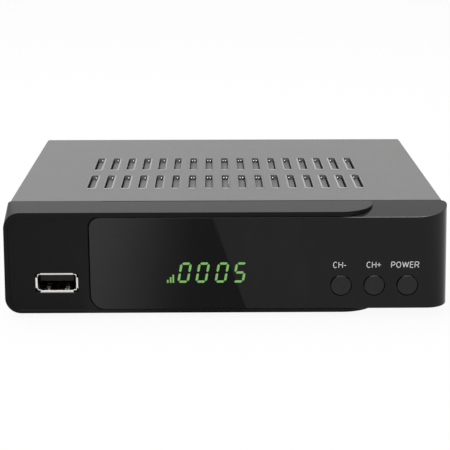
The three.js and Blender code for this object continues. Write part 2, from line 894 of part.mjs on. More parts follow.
function louvreTongue(x, y) {
  const front = y - louvreLength / 2;
  const back = y + louvreLength / 2;
  const half = louvreWidth / 2 - louvreShear;
  const top = caseTop - louvreSink;
  const wall = sheet - 2 * louvreSink;
  const crest = [
    [front - louvreHinge, top],
    [front + louvreHingeCorner, top],
    [front + louvreHingeCorner + louvreStepRun, caseTop - louvreStep],
    [back, caseTop - louvreDrop],
  ];
  const under = crest.map(([u, v]) => [u, v - wall]).reverse();
  const strip = prismAlongX(outline([...crest, ...under]), [x - half, x + half]);
  const round = prismAlongZ(
    louvreOutline(x, y - louvreHinge, louvreShear),
    [caseTop - louvreDrop - 2 * sheet, caseTop + overrun],
  );
  return strip.intersect(round);
}

function sideScrewPlaces() {
  const level = caseBottom + sideScrewHeight;
  return [[coverFront + sideScrewFirst, level], [coverRear - sideScrewRear, level]];
}

function topCover() {
  const body = prismAlongY(coverOutline(), [coverFront, coverRear]);
  const slots = louvrePlaces().map(([x, y]) => {
    return prismAlongZ(louvreOutline(x, y, 0), [underCover - overrun, caseTop + overrun]);
  });
  const tongues = louvrePlaces().map(([x, y]) => louvreTongue(x, y));
  const past = caseHalf + overrun;
  const holes = sideScrewPlaces().map(([y, z]) => rodAlongX(screwShank, y, z, [-past, past]));
  return cut(body, [joined(slots), ...holes]).add(joined(tongues));
}

// Base tray: floor, side flanges and rear wall folded from one sheet
function floorSlots() {
  const middle = (floorSlotCount - 1) / 2;
  const corners = evenCorners(floorSlotWidth / 2);
  const second = floorSlotFirst + floorSlotLength + floorSlotRowGap;
  return [floorSlotFirst, second].flatMap((row) => {
    return Array.from({ length: floorSlotCount }, (_, i) => {
      const x = (i - middle) * floorSlotPitch;
      const across = [x - floorSlotWidth / 2, x + floorSlotWidth / 2];
      const shape = roundedOutline(across, [row, row + floorSlotLength], corners, slotSteps);
      return prismAlongZ(shape, [caseBottom - overrun, floorTop + overrun]);
    });
  });
}

function standoffPlaces() {
  const across = mainHalf - standoffInset;
  return [mainFront + standoffFrontInset, tunerFront - standoffTunerGap].flatMap((y) => {
    return [-across, across].map((x) => [x, y]);
  });
}

// A boss pressed up from the floor to carry the circuit board, hollow from below
function standoff([x, y]) {
  const top = mainBottom - seatGap;
  const skin = rodAlongZ(standoffBase, x, y, [caseBottom, top], smallSides, standoffTop);
  const hollow = rodAlongZ(
    standoffBase - sheet,
    x,
    y,
    [caseBottom - seatGap, top - sheet],
    smallSides,
    standoffTop - sheet,
  );
  const hole = rodAlongZ(screwShank, x, y, [caseBottom, top + overrun], smallSides);
  return { skin, hollow: hollow.add(hole) };
}

function baseTray() {
  const rising = caseBottom + flangeHeight;
  const flangeReach = [coverFront + lipReach + fitGap, rearFace];
  const floor = block([-insideHalf, insideHalf], [coverFront + fitGap, rearFace], [caseBottom, floorTop]);
  const rear = block([-insideHalf, insideHalf], [rearInner, rearFace], [caseBottom, underCover - fitGap]);
  const flanges = [
    block([-insideHalf, -insideHalf + sheet], flangeReach, [caseBottom, rising]),
    block([insideHalf - sheet, insideHalf], flangeReach, [caseBottom, rising]),
  ];
  const sideHoles = sideScrewPlaces().map(([y, z]) => rodAlongX(screwShank, y, z, [-caseHalf, caseHalf]));
  const tabHoles = [-tabCentre, tabCentre].map((x) => {
    return rodAlongZ(screwShank, x, tabHole, [caseBottom - overrun, floorTop + overrun], smallSides);
  });
  const bosses = standoffPlaces().map(standoff);
  const hollows = bosses.map(({ hollow }) => hollow);
  const openings = [...floorSlots(), ...sideHoles, ...tabHoles, ...hollows, ...rearOpenings()];
  const sheets = [floor, rear, ...flanges, ...bosses.map(({ skin }) => skin)];
  return joined(sheets).subtract(joined(openings));
}

function footPlaces() {
  const across = caseHalf - footInset;
  const first = tabHole + screwHead + footGap + footRadius;
  return [first, rearFace - footEndInset].flatMap((y) => {
    return [-across, across].map((x) => [x, y]);
  });
}

function rubberFoot() {
  return rodAlongZ(footRadius - footTaper, 0, 0, [0, caseBottom - seatGap], socketSides, footRadius);
}

// Main circuit board, with a tongue at the left for the memory-stick socket
function mainBoard() {
  const across = [-mainHalf, mainHalf];
  const plate = block(across, [mainFront, mainRear], [mainBottom, mainTop]);
  const tongue = block([-mainHalf, mainTongueRight], [mainTongueFront, mainFront + seatGap], [mainBottom, mainTop]);
  const holes = standoffPlaces().map(([x, y]) => {
    return rodAlongZ(screwShank, x, y, [mainBottom - overrun, mainTop + overrun], smallSides);
  });
  return cut(plate.add(tongue), holes);
}

// Aerial sockets on the tuner's can
function lnbSocket() {
  const profile = [
    [0, flangeBack],
    [lnbFlangeRadius, flangeBack],
    [lnbFlangeRadius, rearInner - seatGap],
    [lnbRadius, rearInner - seatGap],
    [lnbRadius, rearReach],
    [lnbBoreRadius, rearReach],
    [lnbBoreRadius, rearReach - lnbBoreDepth],
    [lnbContactRadius, rearReach - lnbBoreDepth],
    [lnbContactRadius, rearReach - lnbContactDepth],
    [0, rearReach - lnbContactDepth],
  ];
  return turned(profile, socketSides);
}

function lnbNut() {
  const corner = (lnbRadius + nutRim) / Math.cos(Math.PI / 6);
  const reach = [rearFace + seatGap, rearFace + seatGap + nutWall];
  const hex = rodAlongY(corner, 0, 0, reach, 6);
  return hex.subtract(rodAlongY(lnbRadius + screwClearance, 0, 0, [rearInner, rearReach], socketSides));
}

function tunerCan() {
  const base = mainTop + seatGap;
  const top = base + tunerHeight;
  const across = [tunerPlace - tunerWidth / 2, tunerPlace + tunerWidth / 2];
  const inner = [across[0] + tunerWall, across[1] - tunerWall];
  const body = block(inner, [tunerFront + tunerWall, tunerBack], [base, top - tunerWall]);
  const lid = block(across, [tunerFront, tunerBack], [top - tunerLip, top]);
  return body.add(lid);
}

// Digital video socket
function hdmiOutline(grow) {
  const half = hdmiWidth / 2 + grow;
  const low = mainTop + seatGap + hdmiLift - grow + hdmiWall;
  const high = low + hdmiHeight + 2 * grow;
  return outline([
    [hdmiPlace - half + hdmiBevel, low],
    [hdmiPlace + half - hdmiBevel, low],
    [hdmiPlace + half, low + hdmiBevel],
    [hdmiPlace + half, high],
    [hdmiPlace - half, high],
    [hdmiPlace - half, low + hdmiBevel],
  ]);
}

function hdmiShell() {
  const front = rearFace - hdmiDepth;
  const body = prismAlongY(hdmiOutline(hdmiWall), [front, rearFace + hdmiWall]);
  return body.subtract(prismAlongY(hdmiOutline(0), [front + hdmiWall, rearFace + overrun]));
}

function hdmiTongue() {
  const front = rearFace - hdmiDepth + hdmiWall + seatGap;
  const middle = mainTop + seatGap + hdmiLift + hdmiWall + hdmiHeight / 2;
  return block(
    [hdmiPlace - hdmiTongueWidth / 2, hdmiPlace + hdmiTongueWidth / 2],
    [front, rearFace - hdmiWall],
    [middle, middle + hdmiTongueWall],
  );
}

// Video socket with a well round a slotted core
function scartOutline(grow) {
  const half = scartWidth / 2 + grow;
  const low = mainTop + seatGap + scartLift - grow;
  const high = low + scartHeight + 2 * grow;
  return outline([
    [scartPlace - half + scartSlope, low],
    [scartPlace + half, low],
    [scartPlace + half, high],
    [scartPlace - half, high],
    [scartPlace - half, low + scartSlope],
  ]);
}

function scartSlots(face) {
  const margin = 2 * (scartWall + scartCoreInset);
  const coreHeight = scartHeight - margin;
  const pitch = (scartWidth - margin) / (scartSlotCount + 1);
  const high = coreHeight * scartSlotHeightShare;
  const middle = (scartSlotCount - 1) / 2;
  const centre = mainTop + seatGap + scartLift + scartHeight / 2;
  return [-1, 1].flatMap((side) => {
    return Array.from({ length: scartSlotCount }, (_, i) => {
      const x = scartPlace + (i - middle + side / 4) * pitch;
      const z = centre + (side * coreHeight) / 4;
      return block(
        [x - scartSlotWidth / 2, x + scartSlotWidth / 2],
        [face - scartSlotDepth, face + overrun],
        [z - high / 2, z + high / 2],
      );
    });
  });
}

function scartSocket() {
  const face = rearFace + scartReach;
  const body = prismAlongY(scartOutline(0), [rearInner - scartDepth, face]);
  const well = prismAlongY(scartOutline(-scartWall), [face - scartWellDepth, face + overrun]);
  const core = prismAlongY(scartOutline(-scartWall - scartCoreInset), [face - scartWellDepth - seatGap, face - scartWall]);
  return cut(body.subtract(well).add(core), scartSlots(face - scartWall));
}

// Power inlet
const powerHeightAxis = mainTop + powerLevel;

function powerInlet() {
  const back = rearInner - seatGap;
  const body = block(
    [powerPlace - powerWidth / 2, powerPlace + powerWidth / 2],
    [back - powerDepth, back],
    [mainTop + seatGap, mainTop + seatGap + powerHeight],
  );
  const face = rearFace + sheet;
  const nose = rodAlongY(powerNose, powerPlace, powerHeightAxis, [back - overrun, face], socketSides);
  const depth = [face - powerBoreDepth, face + overrun];
  const bore = rodAlongY(powerBore, powerPlace, powerHeightAxis, depth, socketSides);
  return body.add(nose).subtract(bore);
}

function powerInletPin() {
  const start = rearFace + sheet - powerBoreDepth + seatGap;
  return rodAlongY(powerPin, powerPlace, powerHeightAxis, [start, rearFace], smallSides);
}

// Openings in the rear wall, each a clearance larger than what passes through it
function rearOpenings() {
  const reach = [rearInner - overrun, rearFace + overrun];
  return [
    ...[lnbIn, lnbOut].map((x) => rodAlongY(lnbRadius + fitGap, x, lnbHeight, reach, socketSides)),
    prismAlongY(hdmiOutline(hdmiWall + fitGap), reach),
    prismAlongY(scartOutline(fitGap), reach),
    rodAlongY(powerNose + fitGap, powerPlace, powerHeightAxis, reach, socketSides),
  ];
}

// Chips and the heat sink
function systemChip() {
  const half = chipSize / 2;
  return block(
    [chipAcross - half, chipAcross + half],
    [chipAlong - half, chipAlong + half],
    [mainTop + seatGap, mainTop + seatGap + chipHeight],
  );
}

function heatSink() {
  const half = sinkSize / 2;
  const base = mainTop + chipHeight + 2 * seatGap;
  const pitch = (sinkSize - finWall) / (finCount - 1);
  const plate = block(
    [chipAcross - half, chipAcross + half],
    [chipAlong - half, chipAlong + half],
    [base, base + sinkBase],
  );
  const fins = Array.from({ length: finCount }, (_, i) => {
    const left = chipAcross - half + i * pitch;
    return block([left, left + finWall], [chipAlong - half, chipAlong + half], [base, base + sinkHeight]);
  });
  return joined([plate, ...fins]);
}

function memoryChip() {
  const left = chipAcross + sinkSize / 2 + memoryGap;
  return block(
    [left, left + memoryWidth],
    [chipAlong - memoryLength / 2, chipAlong + memoryLength / 2],
    [mainTop + seatGap, mainTop + seatGap + memoryHeight],
  );
}

// Places on the main board, in shares of its half width and of its length
const capacitorShares = [[-0.9, 0.76], [-0.76, 0.6], [-0.6, 0.74], [0.34, 0.72]];
const coilShare = [-0.72, 0.36];

function boardPoint([across, along]) {
  return [across * mainHalf, THREE.MathUtils.lerp(mainFront, mainRear, along), mainTop + seatGap];
}

function capacitor() {
  const profile = [
    [0, 0],
    [capacitorRadius, 0],
    [capacitorRadius, capacitorHeight - capacitorCollar],
    [capacitorRadius - capacitorCollar, capacitorHeight],
    [0, capacitorHeight],
  ];
  return turned(profile, smallSides);
}

function coil() {
  const half = coilSize / 2;
  const foot = block([-half, half], [-half, half], [0, coilHeight / 2]);
  return foot.add(rodAlongZ(half, 0, 0, [0, coilHeight], smallSides));
}

// Headers and the flat cable between the two boards
const ribbonStart = frontBoardBack + headerHeight + 2 * seatGap;
const ribbonDrop = ribbonStart + ribbonRun + ribbonBend;

function frontHeader() {
  return block(
    [ribbonPlace - headerWidth / 2, ribbonPlace + headerWidth / 2],
    [frontBoardBack + seatGap, frontBoardBack + seatGap + headerHeight],
    [ribbonTop - headerDepth / 2, ribbonTop + headerDepth / 2],
  );
}

function mainHeader() {
  return block(
    [ribbonPlace - headerWidth / 2, ribbonPlace + headerWidth / 2],
    [ribbonDrop - headerDepth / 2, ribbonDrop + headerDepth / 2],
    [mainTop + seatGap, mainTop + seatGap + headerHeight],
  );
}

function boardRibbon() {
  const half = ribbonWall / 2;
  const end = mainTop + headerHeight + 2 * seatGap;
  const bend = [ribbonDrop - ribbonBend, ribbonTop - ribbonBend];
  const shape = outline([
    [ribbonStart, ribbonTop - half],
    ...arc(...bend, ribbonBend - half, quarter, 0),
    [ribbonDrop - half, end],
    [ribbonDrop + half, end],
    ...arc(...bend, ribbonBend + half, 0, quarter),
    [ribbonStart, ribbonTop + half],
  ]);
  return prismAlongX(shape, [ribbonPlace - ribbonWidth / 2, ribbonPlace + ribbonWidth / 2]);
}

// The receiver
function meshOf(name, body, material) {
  const { vertProperties, triVerts } = body.getMesh();
  const geometry = new THREE.BufferGeometry();
  geometry.setAttribute("position", new THREE.BufferAttribute(vertProperties, 3));
  geometry.setIndex(new THREE.BufferAttribute(triVerts, 1));
  geometry.computeVertexNormals();
  const mesh = new THREE.Mesh(geometry, material);
  mesh.name = name;
  return mesh;
}

function placed(mesh, [x, y, z], [turnX, turnY, turnZ] = [0, 0, 0]) {
  mesh.position.set(x, y, z);
  mesh.rotation.set(turnX, turnY, turnZ);
  return mesh;
}

const receiver = new THREE.Group();
receiver.position.y = -(rearReach - buttonProud) / 2;

receiver.add(
  meshOf("top_cover", topCover(), steelPaint),
  meshOf("base_tray", baseTray(), zincSteel),
  meshOf("front_frame", frontFrame(), satinBlack),
  meshOf("front_panel", frontPanel(), glossBlack),
  meshOf("display_module", displayModule(), displayGrey),
  meshOf("infrared_receiver", infraredReceiver(), infraredSmoke),
  meshOf("front_board", frontBoard(), boardBrown),
  meshOf("usb_shell", usbShell(), nickel),
  meshOf("usb_tongue", usbTongue(), blackPlastic),
  meshOf("main_board", mainBoard(), boardGreen),
  meshOf("tuner_can", tunerCan(), zincSteel),
  meshOf("hdmi_shell", hdmiShell(), nickel),
  meshOf("hdmi_tongue", hdmiTongue(), blackPlastic),
  meshOf("scart_socket", scartSocket(), blackPlastic),
  meshOf("power_inlet", powerInlet(), blackPlastic),
  meshOf("power_inlet_pin", powerInletPin(), nickel),
  meshOf("system_chip", systemChip(), chipBlack),
  meshOf("heat_sink", heatSink(), sinkMetal),
  meshOf("memory_chip", memoryChip(), chipBlack),
  meshOf("front_header", frontHeader(), creamPlastic),
  meshOf("main_header", mainHeader(), creamPlastic),
  meshOf("board_ribbon", boardRibbon(), ribbonGrey),
  placed(meshOf("coil", coil(), ferrite), boardPoint(coilShare)),
);

// Each button with its plunger and the switch behind it
["channel_down", "channel_up", "power"].forEach((name, i) => {
  const place = [buttonPlaces()[i], 0, buttonHeight];
  receiver.add(
    placed(meshOf(`${name}_button`, pushButton(), glossBlack), place),
    placed(meshOf(`${name}_plunger`, plunger(), creamPlastic), place),
    placed(meshOf(`${name}_switch`, switchHousing(), blackPlastic), place),
  );
});

[["in", lnbIn], ["out", lnbOut]].forEach(([name, x]) => {
  receiver.add(
    placed(meshOf(`lnb_${name}_socket`, lnbSocket(), nickel), [x, 0, lnbHeight]),
    placed(meshOf(`lnb_${name}_nut`, lnbNut(), nickel), [x, 0, lnbHeight]),
  );
});

capacitorShares.forEach((share, i) => {
  const turn = [quarter, 0, 0];
  receiver.add(placed(meshOf(`capacitor_${i + 1}`, capacitor(), capacitorSleeve), boardPoint(share), turn));
});

// What comes in fours stands front left, front right, rear left and rear right
const corners = ["front_left", "front_right", "rear_left", "rear_right"];
const [leftSide, rightSide] = [-1, 1];

corners.forEach((corner, i) => {
  const side = i % 2 === 0 ? leftSide : rightSide;
  const [along, level] = sideScrewPlaces()[i < 2 ? 0 : 1];
  const [footX, footY] = footPlaces()[i];
  const [standX, standY] = standoffPlaces()[i];
  const foot = meshOf(`foot_${corner}`, rubberFoot(), rubber);
  const sideScrew = meshOf(`cover_screw_${corner}`, panScrew(screwLength), nickel);
  const boardScrew = meshOf(`board_screw_${corner}`, panScrew(screwLength), nickel);
  receiver.add(
    placed(foot, [footX, footY, 0]),
    placed(sideScrew, [side * (caseHalf + seatGap), along, level], [0, 0, side * quarter]),
    placed(boardScrew, [standX, standY, mainTop + seatGap], [-quarter, 0, 0]),
  );
});

// Two screws rise through the floor into the tabs of the front
[["left", -tabCentre], ["right", tabCentre]].forEach(([name, x]) => {
  const screw = meshOf(`tab_screw_${name}`, panScrew(sheet + tabWall + tabScrewPast), nickel);
  receiver.add(placed(screw, [x, tabHole, caseBottom - seatGap], [quarter, 0, 0]));
});

["lower_left", "upper_left", "upper_right"].forEach((name, i) => {
  const [x, z] = postPlaces()[i];
  const screw = meshOf(`front_board_screw_${name}`, panScrew(screwLength), nickel);
  receiver.add(placed(screw, [x, frontBoardBack + seatGap, z], [0, 0, 2 * quarter]));
});

export default receiver;
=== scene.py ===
# %% [markdown]
# # A small satellite television receiver
#
# The imported CAD model comes in as a fixed frame: every solid sits where the CAD placed it.
# This lesson dresses that frame. The case, the front and the sockets are made again with finer
# edges, each standing for its CAD node, and every node gets a finish made of shader nodes.
# A finished look could also come from photographs wrapped round the solids, but node
# finishes stay sharp at any distance and need no files.

# %% Load the frame
import json
import math

import bmesh
import bpy
from mathutils import Matrix, Vector


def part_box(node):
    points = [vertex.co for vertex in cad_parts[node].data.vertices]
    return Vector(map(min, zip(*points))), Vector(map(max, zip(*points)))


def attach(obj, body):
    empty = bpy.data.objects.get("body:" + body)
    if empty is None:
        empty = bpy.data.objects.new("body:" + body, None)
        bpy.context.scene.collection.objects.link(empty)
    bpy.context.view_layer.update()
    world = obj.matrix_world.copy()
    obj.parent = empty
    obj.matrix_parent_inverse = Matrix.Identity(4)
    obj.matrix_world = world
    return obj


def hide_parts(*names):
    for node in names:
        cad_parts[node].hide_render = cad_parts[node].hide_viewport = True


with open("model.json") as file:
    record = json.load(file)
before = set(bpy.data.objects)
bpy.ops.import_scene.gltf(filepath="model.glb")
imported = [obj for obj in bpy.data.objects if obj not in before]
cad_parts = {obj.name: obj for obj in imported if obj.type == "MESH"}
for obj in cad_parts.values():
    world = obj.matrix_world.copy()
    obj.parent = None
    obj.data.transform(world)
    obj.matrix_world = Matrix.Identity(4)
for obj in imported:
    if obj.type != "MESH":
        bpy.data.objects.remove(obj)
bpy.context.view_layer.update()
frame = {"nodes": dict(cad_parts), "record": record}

nodes = frame["nodes"]

# %% [markdown]
# ## Drawing in millimetres
#
# The front of the receiver was drawn with y = 0 at its face and z = 0 at the table.
# Blender works in metres and the frame is centred, so one function turns a drawn point into a
# Blender point. Keeping the drawing's own numbers makes them easy to compare with the CAD.

# %% From the drawing to Blender
MM = 0.001
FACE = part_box("front_frame")[0].y


def place(x, y, z):
    return Vector((x * MM, y * MM + FACE, z * MM))


def put(name, data):
    thing = bpy.data.objects.new(name, data)
    bpy.context.scene.collection.objects.link(thing)
    return thing


print("the face of the front stands at y =", round(FACE / MM, 2), "mm")

# %% [markdown]
# ## Shader sums as Python
#
# A finish is a small graph of nodes. Wiring each Math node by hand hides the sum that
# it makes, so an output is wrapped in a class whose operators add the nodes: 1 - mask then
# reads as what it is. Colours never pass through Math nodes, which would turn them grey.

# %% A value that can be added and multiplied
class Value:
    """The output of a shader node, ready for sums."""

    def __init__(self, graph, socket):
        self.graph = graph
        self.socket = socket

    def sum(self, operation, first, second):
        return self.graph.node("ShaderNodeMath", {"operation": operation}, {0: first, 1: second})

    def __add__(self, other):
        return self.sum("ADD", self, other)

    def __sub__(self, other):
        return self.sum("SUBTRACT", self, other)

    def __rsub__(self, other):
        return self.sum("SUBTRACT", other, self)

    def __mul__(self, other):
        return self.sum("MULTIPLY", self, other)

    __radd__ = __add__
    __rmul__ = __mul__


# %% [markdown]
# ## One method for every node
#
# The world and each material own a node tree. One method adds any node to it: its
# settings first, because they decide which sockets it has, then the numbers and links of its
# sockets. Separate calls for each kind of node would say the same thing many times.

# %% A graph of nodes
class Graph:
    """The node tree of a material or the world, built up one node at a time."""

    def __init__(self, owner):
        owner.use_nodes = True
        self.tree = owner.node_tree

    def node(self, kind, settings=None, inputs=None, output=0):
        made = self.tree.nodes.new(kind)
        for name, value in (settings or {}).items():
            setattr(made, name, value)
        for socket, value in (inputs or {}).items():
            self.feed(made.inputs[socket], value)
        return Value(self, made.outputs[output])

    def feed(self, socket, value):
        if isinstance(value, Value):
            self.tree.links.new(value.socket, socket)
        else:
            socket.default_value = value

    def show(self, shader):
        last = next(n for n in self.tree.nodes if n.type.startswith("OUTPUT"))
        self.feed(last.inputs["Surface"], shader)

    def part_of(self, vector, axis):
        return self.node("ShaderNodeSeparateXYZ", None, {0: vector}, axis)

    def point(self, axis):
        return self.part_of(self.node("ShaderNodeTexCoord", output="Object"), axis)

    def facing(self, axis):
        return self.part_of(self.node("ShaderNodeNewGeometry", output="Normal"), axis)

    def ramp(self, value, low, high):
        limits = {"Value": value, "From Min": low, "From Max": high}
        return self.node("ShaderNodeMapRange", {"interpolation_type": "SMOOTHSTEP"}, limits)

    def mix(self, factor, first, second):
        """A colour between two; the Mix node's two colour sockets are numbers 6 and 7."""
        sockets = {"Factor": factor, 6: (*first, 1), 7: (*second, 1)}
        return self.node("ShaderNodeMix", {"data_type": "RGBA"}, sockets, 2)


# %% [markdown]
# ## One finish, one material
#
# Every finish starts from the Principled shader. Numbers that are the same all over the surface
# are typed into its sockets. What varies, such as a speckle or a painted highlight, is linked in.

# %% The finish class
class Finish(Graph):
    """A material with a Principled shader."""

    def __init__(self, name, **constants):
        self.material = bpy.data.materials.new(name)
        super().__init__(self.material)
        self.shader = next(n for n in self.tree.nodes if n.type == "BSDF_PRINCIPLED")
        self.set(**constants)

    def set(self, **inputs):
        for name, value in inputs.items():
            title = name.replace("_", " ").title().replace("Ior", "IOR")
            self.feed(self.shader.inputs[title], value)

    def where(self, scale):
        point = self.node("ShaderNodeTexCoord", output="Object")
        return self.node("ShaderNodeMapping", None, {"Vector": point, "Scale": scale})

    def noise(self, scale, detail=2.0, roughness=0.5, stretch=(1, 1, 1)):
        inputs = {"Vector": self.where(stretch), "Scale": scale, "Detail": detail, "Roughness": roughness}
        return self.node("ShaderNodeTexNoise", None, inputs)

    def bump(self, height, depth, strength):
        inputs = {"Height": height, "Distance": depth, "Strength": strength}
        self.set(normal=self.node("ShaderNodeBump", None, inputs))
        return self.material


# %% [markdown]
# ## Paint, plastic and plate
#
# The case is sheet steel in grey powder paint: a fine orange peel, hardly any gloss, with a
# painted highlight on the louvre rims. The two mouldings of the front differ in polish and in
# painted light: the frame came out of an etched tool and is painted lighter where it faces up,
# the panel came out of a polished one and has a painted highlight along its top edge. The
# metals inside share one recipe with different greys.
# Each finish has its own speckle size, from about 0.1 mm for the etched tool up to 4 mm
# for the spangle of the zinc.

# %% Paint and the black plastics
JET = (0.0036, 0.0036, 0.0038)
# SHEET_TOP and RIM_TOP bound the painted highlight on the louvre rims, EDGE_LOW and EDGE_HIGH the painted
# highlight on the panel's top edge
SHEET_TOP, RIM_TOP = 0.03721, 0.03730  # heights in metres, as a shader sees them
EDGE_LOW, EDGE_HIGH = 0.031, 0.033


def powder_paint():
    finish = Finish("grey_powder_paint", specular_ior_level=0.35)
    # painted highlight: the rim slopes that face forwards or inwards are painted lighter, over a faint random
    # tone
    forward = finish.ramp(-1 * finish.facing("Y"), 0.15, 0.5)
    inward = finish.ramp(finish.point("X") * finish.facing("X"), -0.004, -0.012)
    rim = finish.ramp(finish.point("Z"), SHEET_TOP, RIM_TOP) * (forward + inward)
    tone_and_painted_light = finish.noise(55, 3) * 0.06 + rim * 0.94
    finish.set(base_color=finish.mix(tone_and_painted_light, (0.162, 0.162, 0.161), (0.40, 0.40, 0.40)))
    finish.set(roughness=0.48 + finish.noise(900) * 0.1)
    return finish.bump(finish.noise(2600), 0.00003, 0.5)


def etched_black():
    finish = Finish("etched_black_plastic", specular_ior_level=0.12)
    grain = finish.noise(7000)
    # painted light: faces that turn up are painted lighter, faces that turn away from the top darker
    level = finish.ramp(finish.facing("Z"), 0.70, 0.995)
    tone_and_painted_light = level + 0.04 * finish.noise(500, 3)
    finish.set(base_color=finish.mix(tone_and_painted_light, JET, (0.046, 0.046, 0.047)))
    finish.set(roughness=0.36 + grain * 0.12)
    return finish.bump(grain, 0.00002, 0.35)


def polished_black():
    finish = Finish("polished_black_plastic", specular_ior_level=0.2)
    smear = finish.ramp(finish.noise(90, 4, 0.6, (1, 1, 0.4)), 0.45, 0.8)
    up = finish.facing("Z")
    # painted highlight on the panel's top edge bevel, full at its free end, faint where it is nested in the
    # frame or turns sideways
    edge = finish.ramp(up, 0.30, 0.60) - 0.94 * finish.ramp(up, 0.80, 0.95)
    high = finish.ramp(finish.point("Z"), EDGE_LOW, EDGE_HIGH)
    free_end = finish.ramp(finish.point("X"), 0.036, 0.042)
    turned_away = finish.ramp(finish.facing("X"), 0.08, 0.40)
    painted_edge_highlight = edge * high * (0.12 + 0.88 * free_end) * (1 - turned_away)
    finish.set(base_color=finish.mix(painted_edge_highlight + smear * 0.006, JET, (0.38, 0.38, 0.385)))
    finish.set(roughness=0.045 + smear * 0.02)
    return finish.material


def key_black():
    finish = Finish("key_black_plastic", specular_ior_level=0.28)
    # painted highlight: the parts of a key that face up are painted lighter, over a faint random tone
    painted_highlight_and_tone = finish.ramp(finish.facing("Z"), 0.80, 0.97) + 0.012 * finish.noise(1500)
    finish.set(base_color=finish.mix(painted_highlight_and_tone, (0.0060, 0.0060, 0.0064), (0.26, 0.26, 0.262)))
    finish.set(roughness=0.20 + finish.noise(600, 3) * 0.08)
    return finish.material


key_look = key_black()
print("the keys have a finish of their own:", key_look.name)


# %% Metals, mouldings and solder mask
def metal(name, dark, light, roughness, grain=700, stretch=(1, 1, 1)):
    finish = Finish(name, metallic=1.0)
    speckle = finish.noise(grain, 3, 0.6, stretch)
    finish.set(base_color=finish.mix(speckle, dark, light))
    finish.set(roughness=roughness + speckle * 0.12)
    return finish.bump(speckle, 0.00001, 0.3)


def moulded(name, colour, roughness, grain=3000, spread=0.85, **constants):
    finish = Finish(name, **constants)
    dark = tuple(share * spread for share in colour)
    speckle = finish.noise(grain)
    finish.set(base_color=finish.mix(finish.noise(grain / 8, 3), dark, colour))
    finish.set(roughness=roughness + speckle * 0.1)
    return finish.bump(speckle, 0.00002, 0.3)


def solder_mask():
    finish = Finish("green_solder_mask", roughness=0.32, coat_weight=0.3)
    inputs = {"Vector": finish.where((1, 2.4, 1)), "Scale": 260}
    cells = finish.node("ShaderNodeTexVoronoi", {"feature": "DISTANCE_TO_EDGE"}, inputs)
    track = finish.ramp(cells, 0.05, 0.09)
    finish.set(base_color=finish.mix(track, (0.02, 0.16, 0.06), (0.009, 0.085, 0.03)))
    return finish.bump(1 - track, 0.00004, 0.5)


# %% [markdown]
# ## A finish for every slot of the record
#
# The record names one slot for each kind of surface. A table from slot to finish, and one loop
# over the nodes, dress the pieces that stay as the CAD made them: circuit boards, chips,
# switches and the tray. Green solder mask also gets the faint copper tracks under it.

# %% The table of finishes
finishes = {
    "steel_paint": powder_paint(),
    "zinc_steel": metal("zinc_spangle", (0.42, 0.43, 0.45), (0.62, 0.63, 0.65), 0.28, 240),
    "satin_black": etched_black(),
    "gloss_black": polished_black(),
    "nickel": metal("nickel_plate", (0.60, 0.58, 0.55), (0.76, 0.74, 0.70), 0.16, 1400),
    "black_plastic": moulded("black_moulding", (0.013, 0.013, 0.014), 0.42),
    "rubber": moulded("grey_black_rubber", (0.016, 0.016, 0.016), 0.75, 1800),
    "board_green": solder_mask(),
    "board_brown": moulded("phenolic_board", (0.42, 0.25, 0.09), 0.5, 900),
    "display_grey": moulded("display_grey_resin", (0.022, 0.022, 0.025), 0.5),
    "infrared_smoke": moulded("infrared_smoke_resin", (0.014, 0.008, 0.018), 0.08, 600),
    "chip_black": moulded("chip_resin", (0.018, 0.018, 0.019), 0.55, 5000),
    "sink_metal": metal("black_anodised", (0.03, 0.03, 0.032), (0.05, 0.05, 0.054), 0.35, 1600, (1, 12, 1)),
    "capacitor_sleeve": moulded("capacitor_sleeve", (0.010, 0.018, 0.065), 0.25, 700),
    "ferrite": moulded("ferrite_grey", (0.042, 0.042, 0.046), 0.65, 2400),
    "cream_plastic": moulded("cream_moulding", (0.72, 0.67, 0.55), 0.45, 1500, 0.94),
    "ribbon_grey": moulded("ribbon_jacket", (0.55, 0.54, 0.50), 0.45, 1200, 0.9),
}
slot_of = {row["node"]: row["material_slot"] for row in frame["record"]["subparts"]}
for name, node in nodes.items():
    node.data.materials.clear()
    node.data.materials.append(finishes[slot_of[name]])
print("finishes:", len(finishes), "nodes dressed:", len(nodes))

# %% [markdown]
# ## Solids from outlines
#
# Moulded and folded parts are drawn the way a toolmaker would: an outline pushed along an axis,
# or two outlines joined by a skin. Modelling face by face would also work, but an outline keeps
# each radius as one number. Arcs are drawn finely here, so that gloss runs smoothly round them.

# %% Outlines
QUARTER = math.pi / 2


def arc(u, v, radius, start, end, steps=16):
    if radius <= 0:
        return [(u, v)]
    turns = [start + (end - start) * i / steps for i in range(steps + 1)]
    return [(u + radius * math.cos(a), v + radius * math.sin(a)) for a in turns]


def quarter_turn(steps):
    return [QUARTER * i / steps for i in range(steps + 1)]


def rounded(u0, u1, v0, v1, radii, steps=16):
    low_left, low_right, high_right, high_left = radii
    return [
        *arc(u0 + low_left, v0 + low_left, low_left, 2 * QUARTER, 3 * QUARTER, steps),
        *arc(u1 - low_right, v0 + low_right, low_right, 3 * QUARTER, 4 * QUARTER, steps),
        *arc(u1 - high_right, v1 - high_right, high_right, 0, QUARTER, steps),
        *arc(u0 + high_left, v1 - high_left, high_left, QUARTER, 2 * QUARTER, steps),
    ]


print("a rounded outline has", len(rounded(0, 4, 0, 2, (0.5,) * 4)), "points")


# %% Skins, prisms and turned parts
def build(name, points, faces):
    mesh = bpy.data.meshes.new(name)
    mesh.from_pydata([place(*point) for point in points], [], faces)
    whole = bmesh.new()
    whole.from_mesh(mesh)
    bmesh.ops.recalc_face_normals(whole, faces=whole.faces)
    if whole.calc_volume(signed=True) < 0:
        bmesh.ops.reverse_faces(whole, faces=whole.faces)
    whole.to_mesh(mesh)
    whole.free()
    return put(name, mesh)


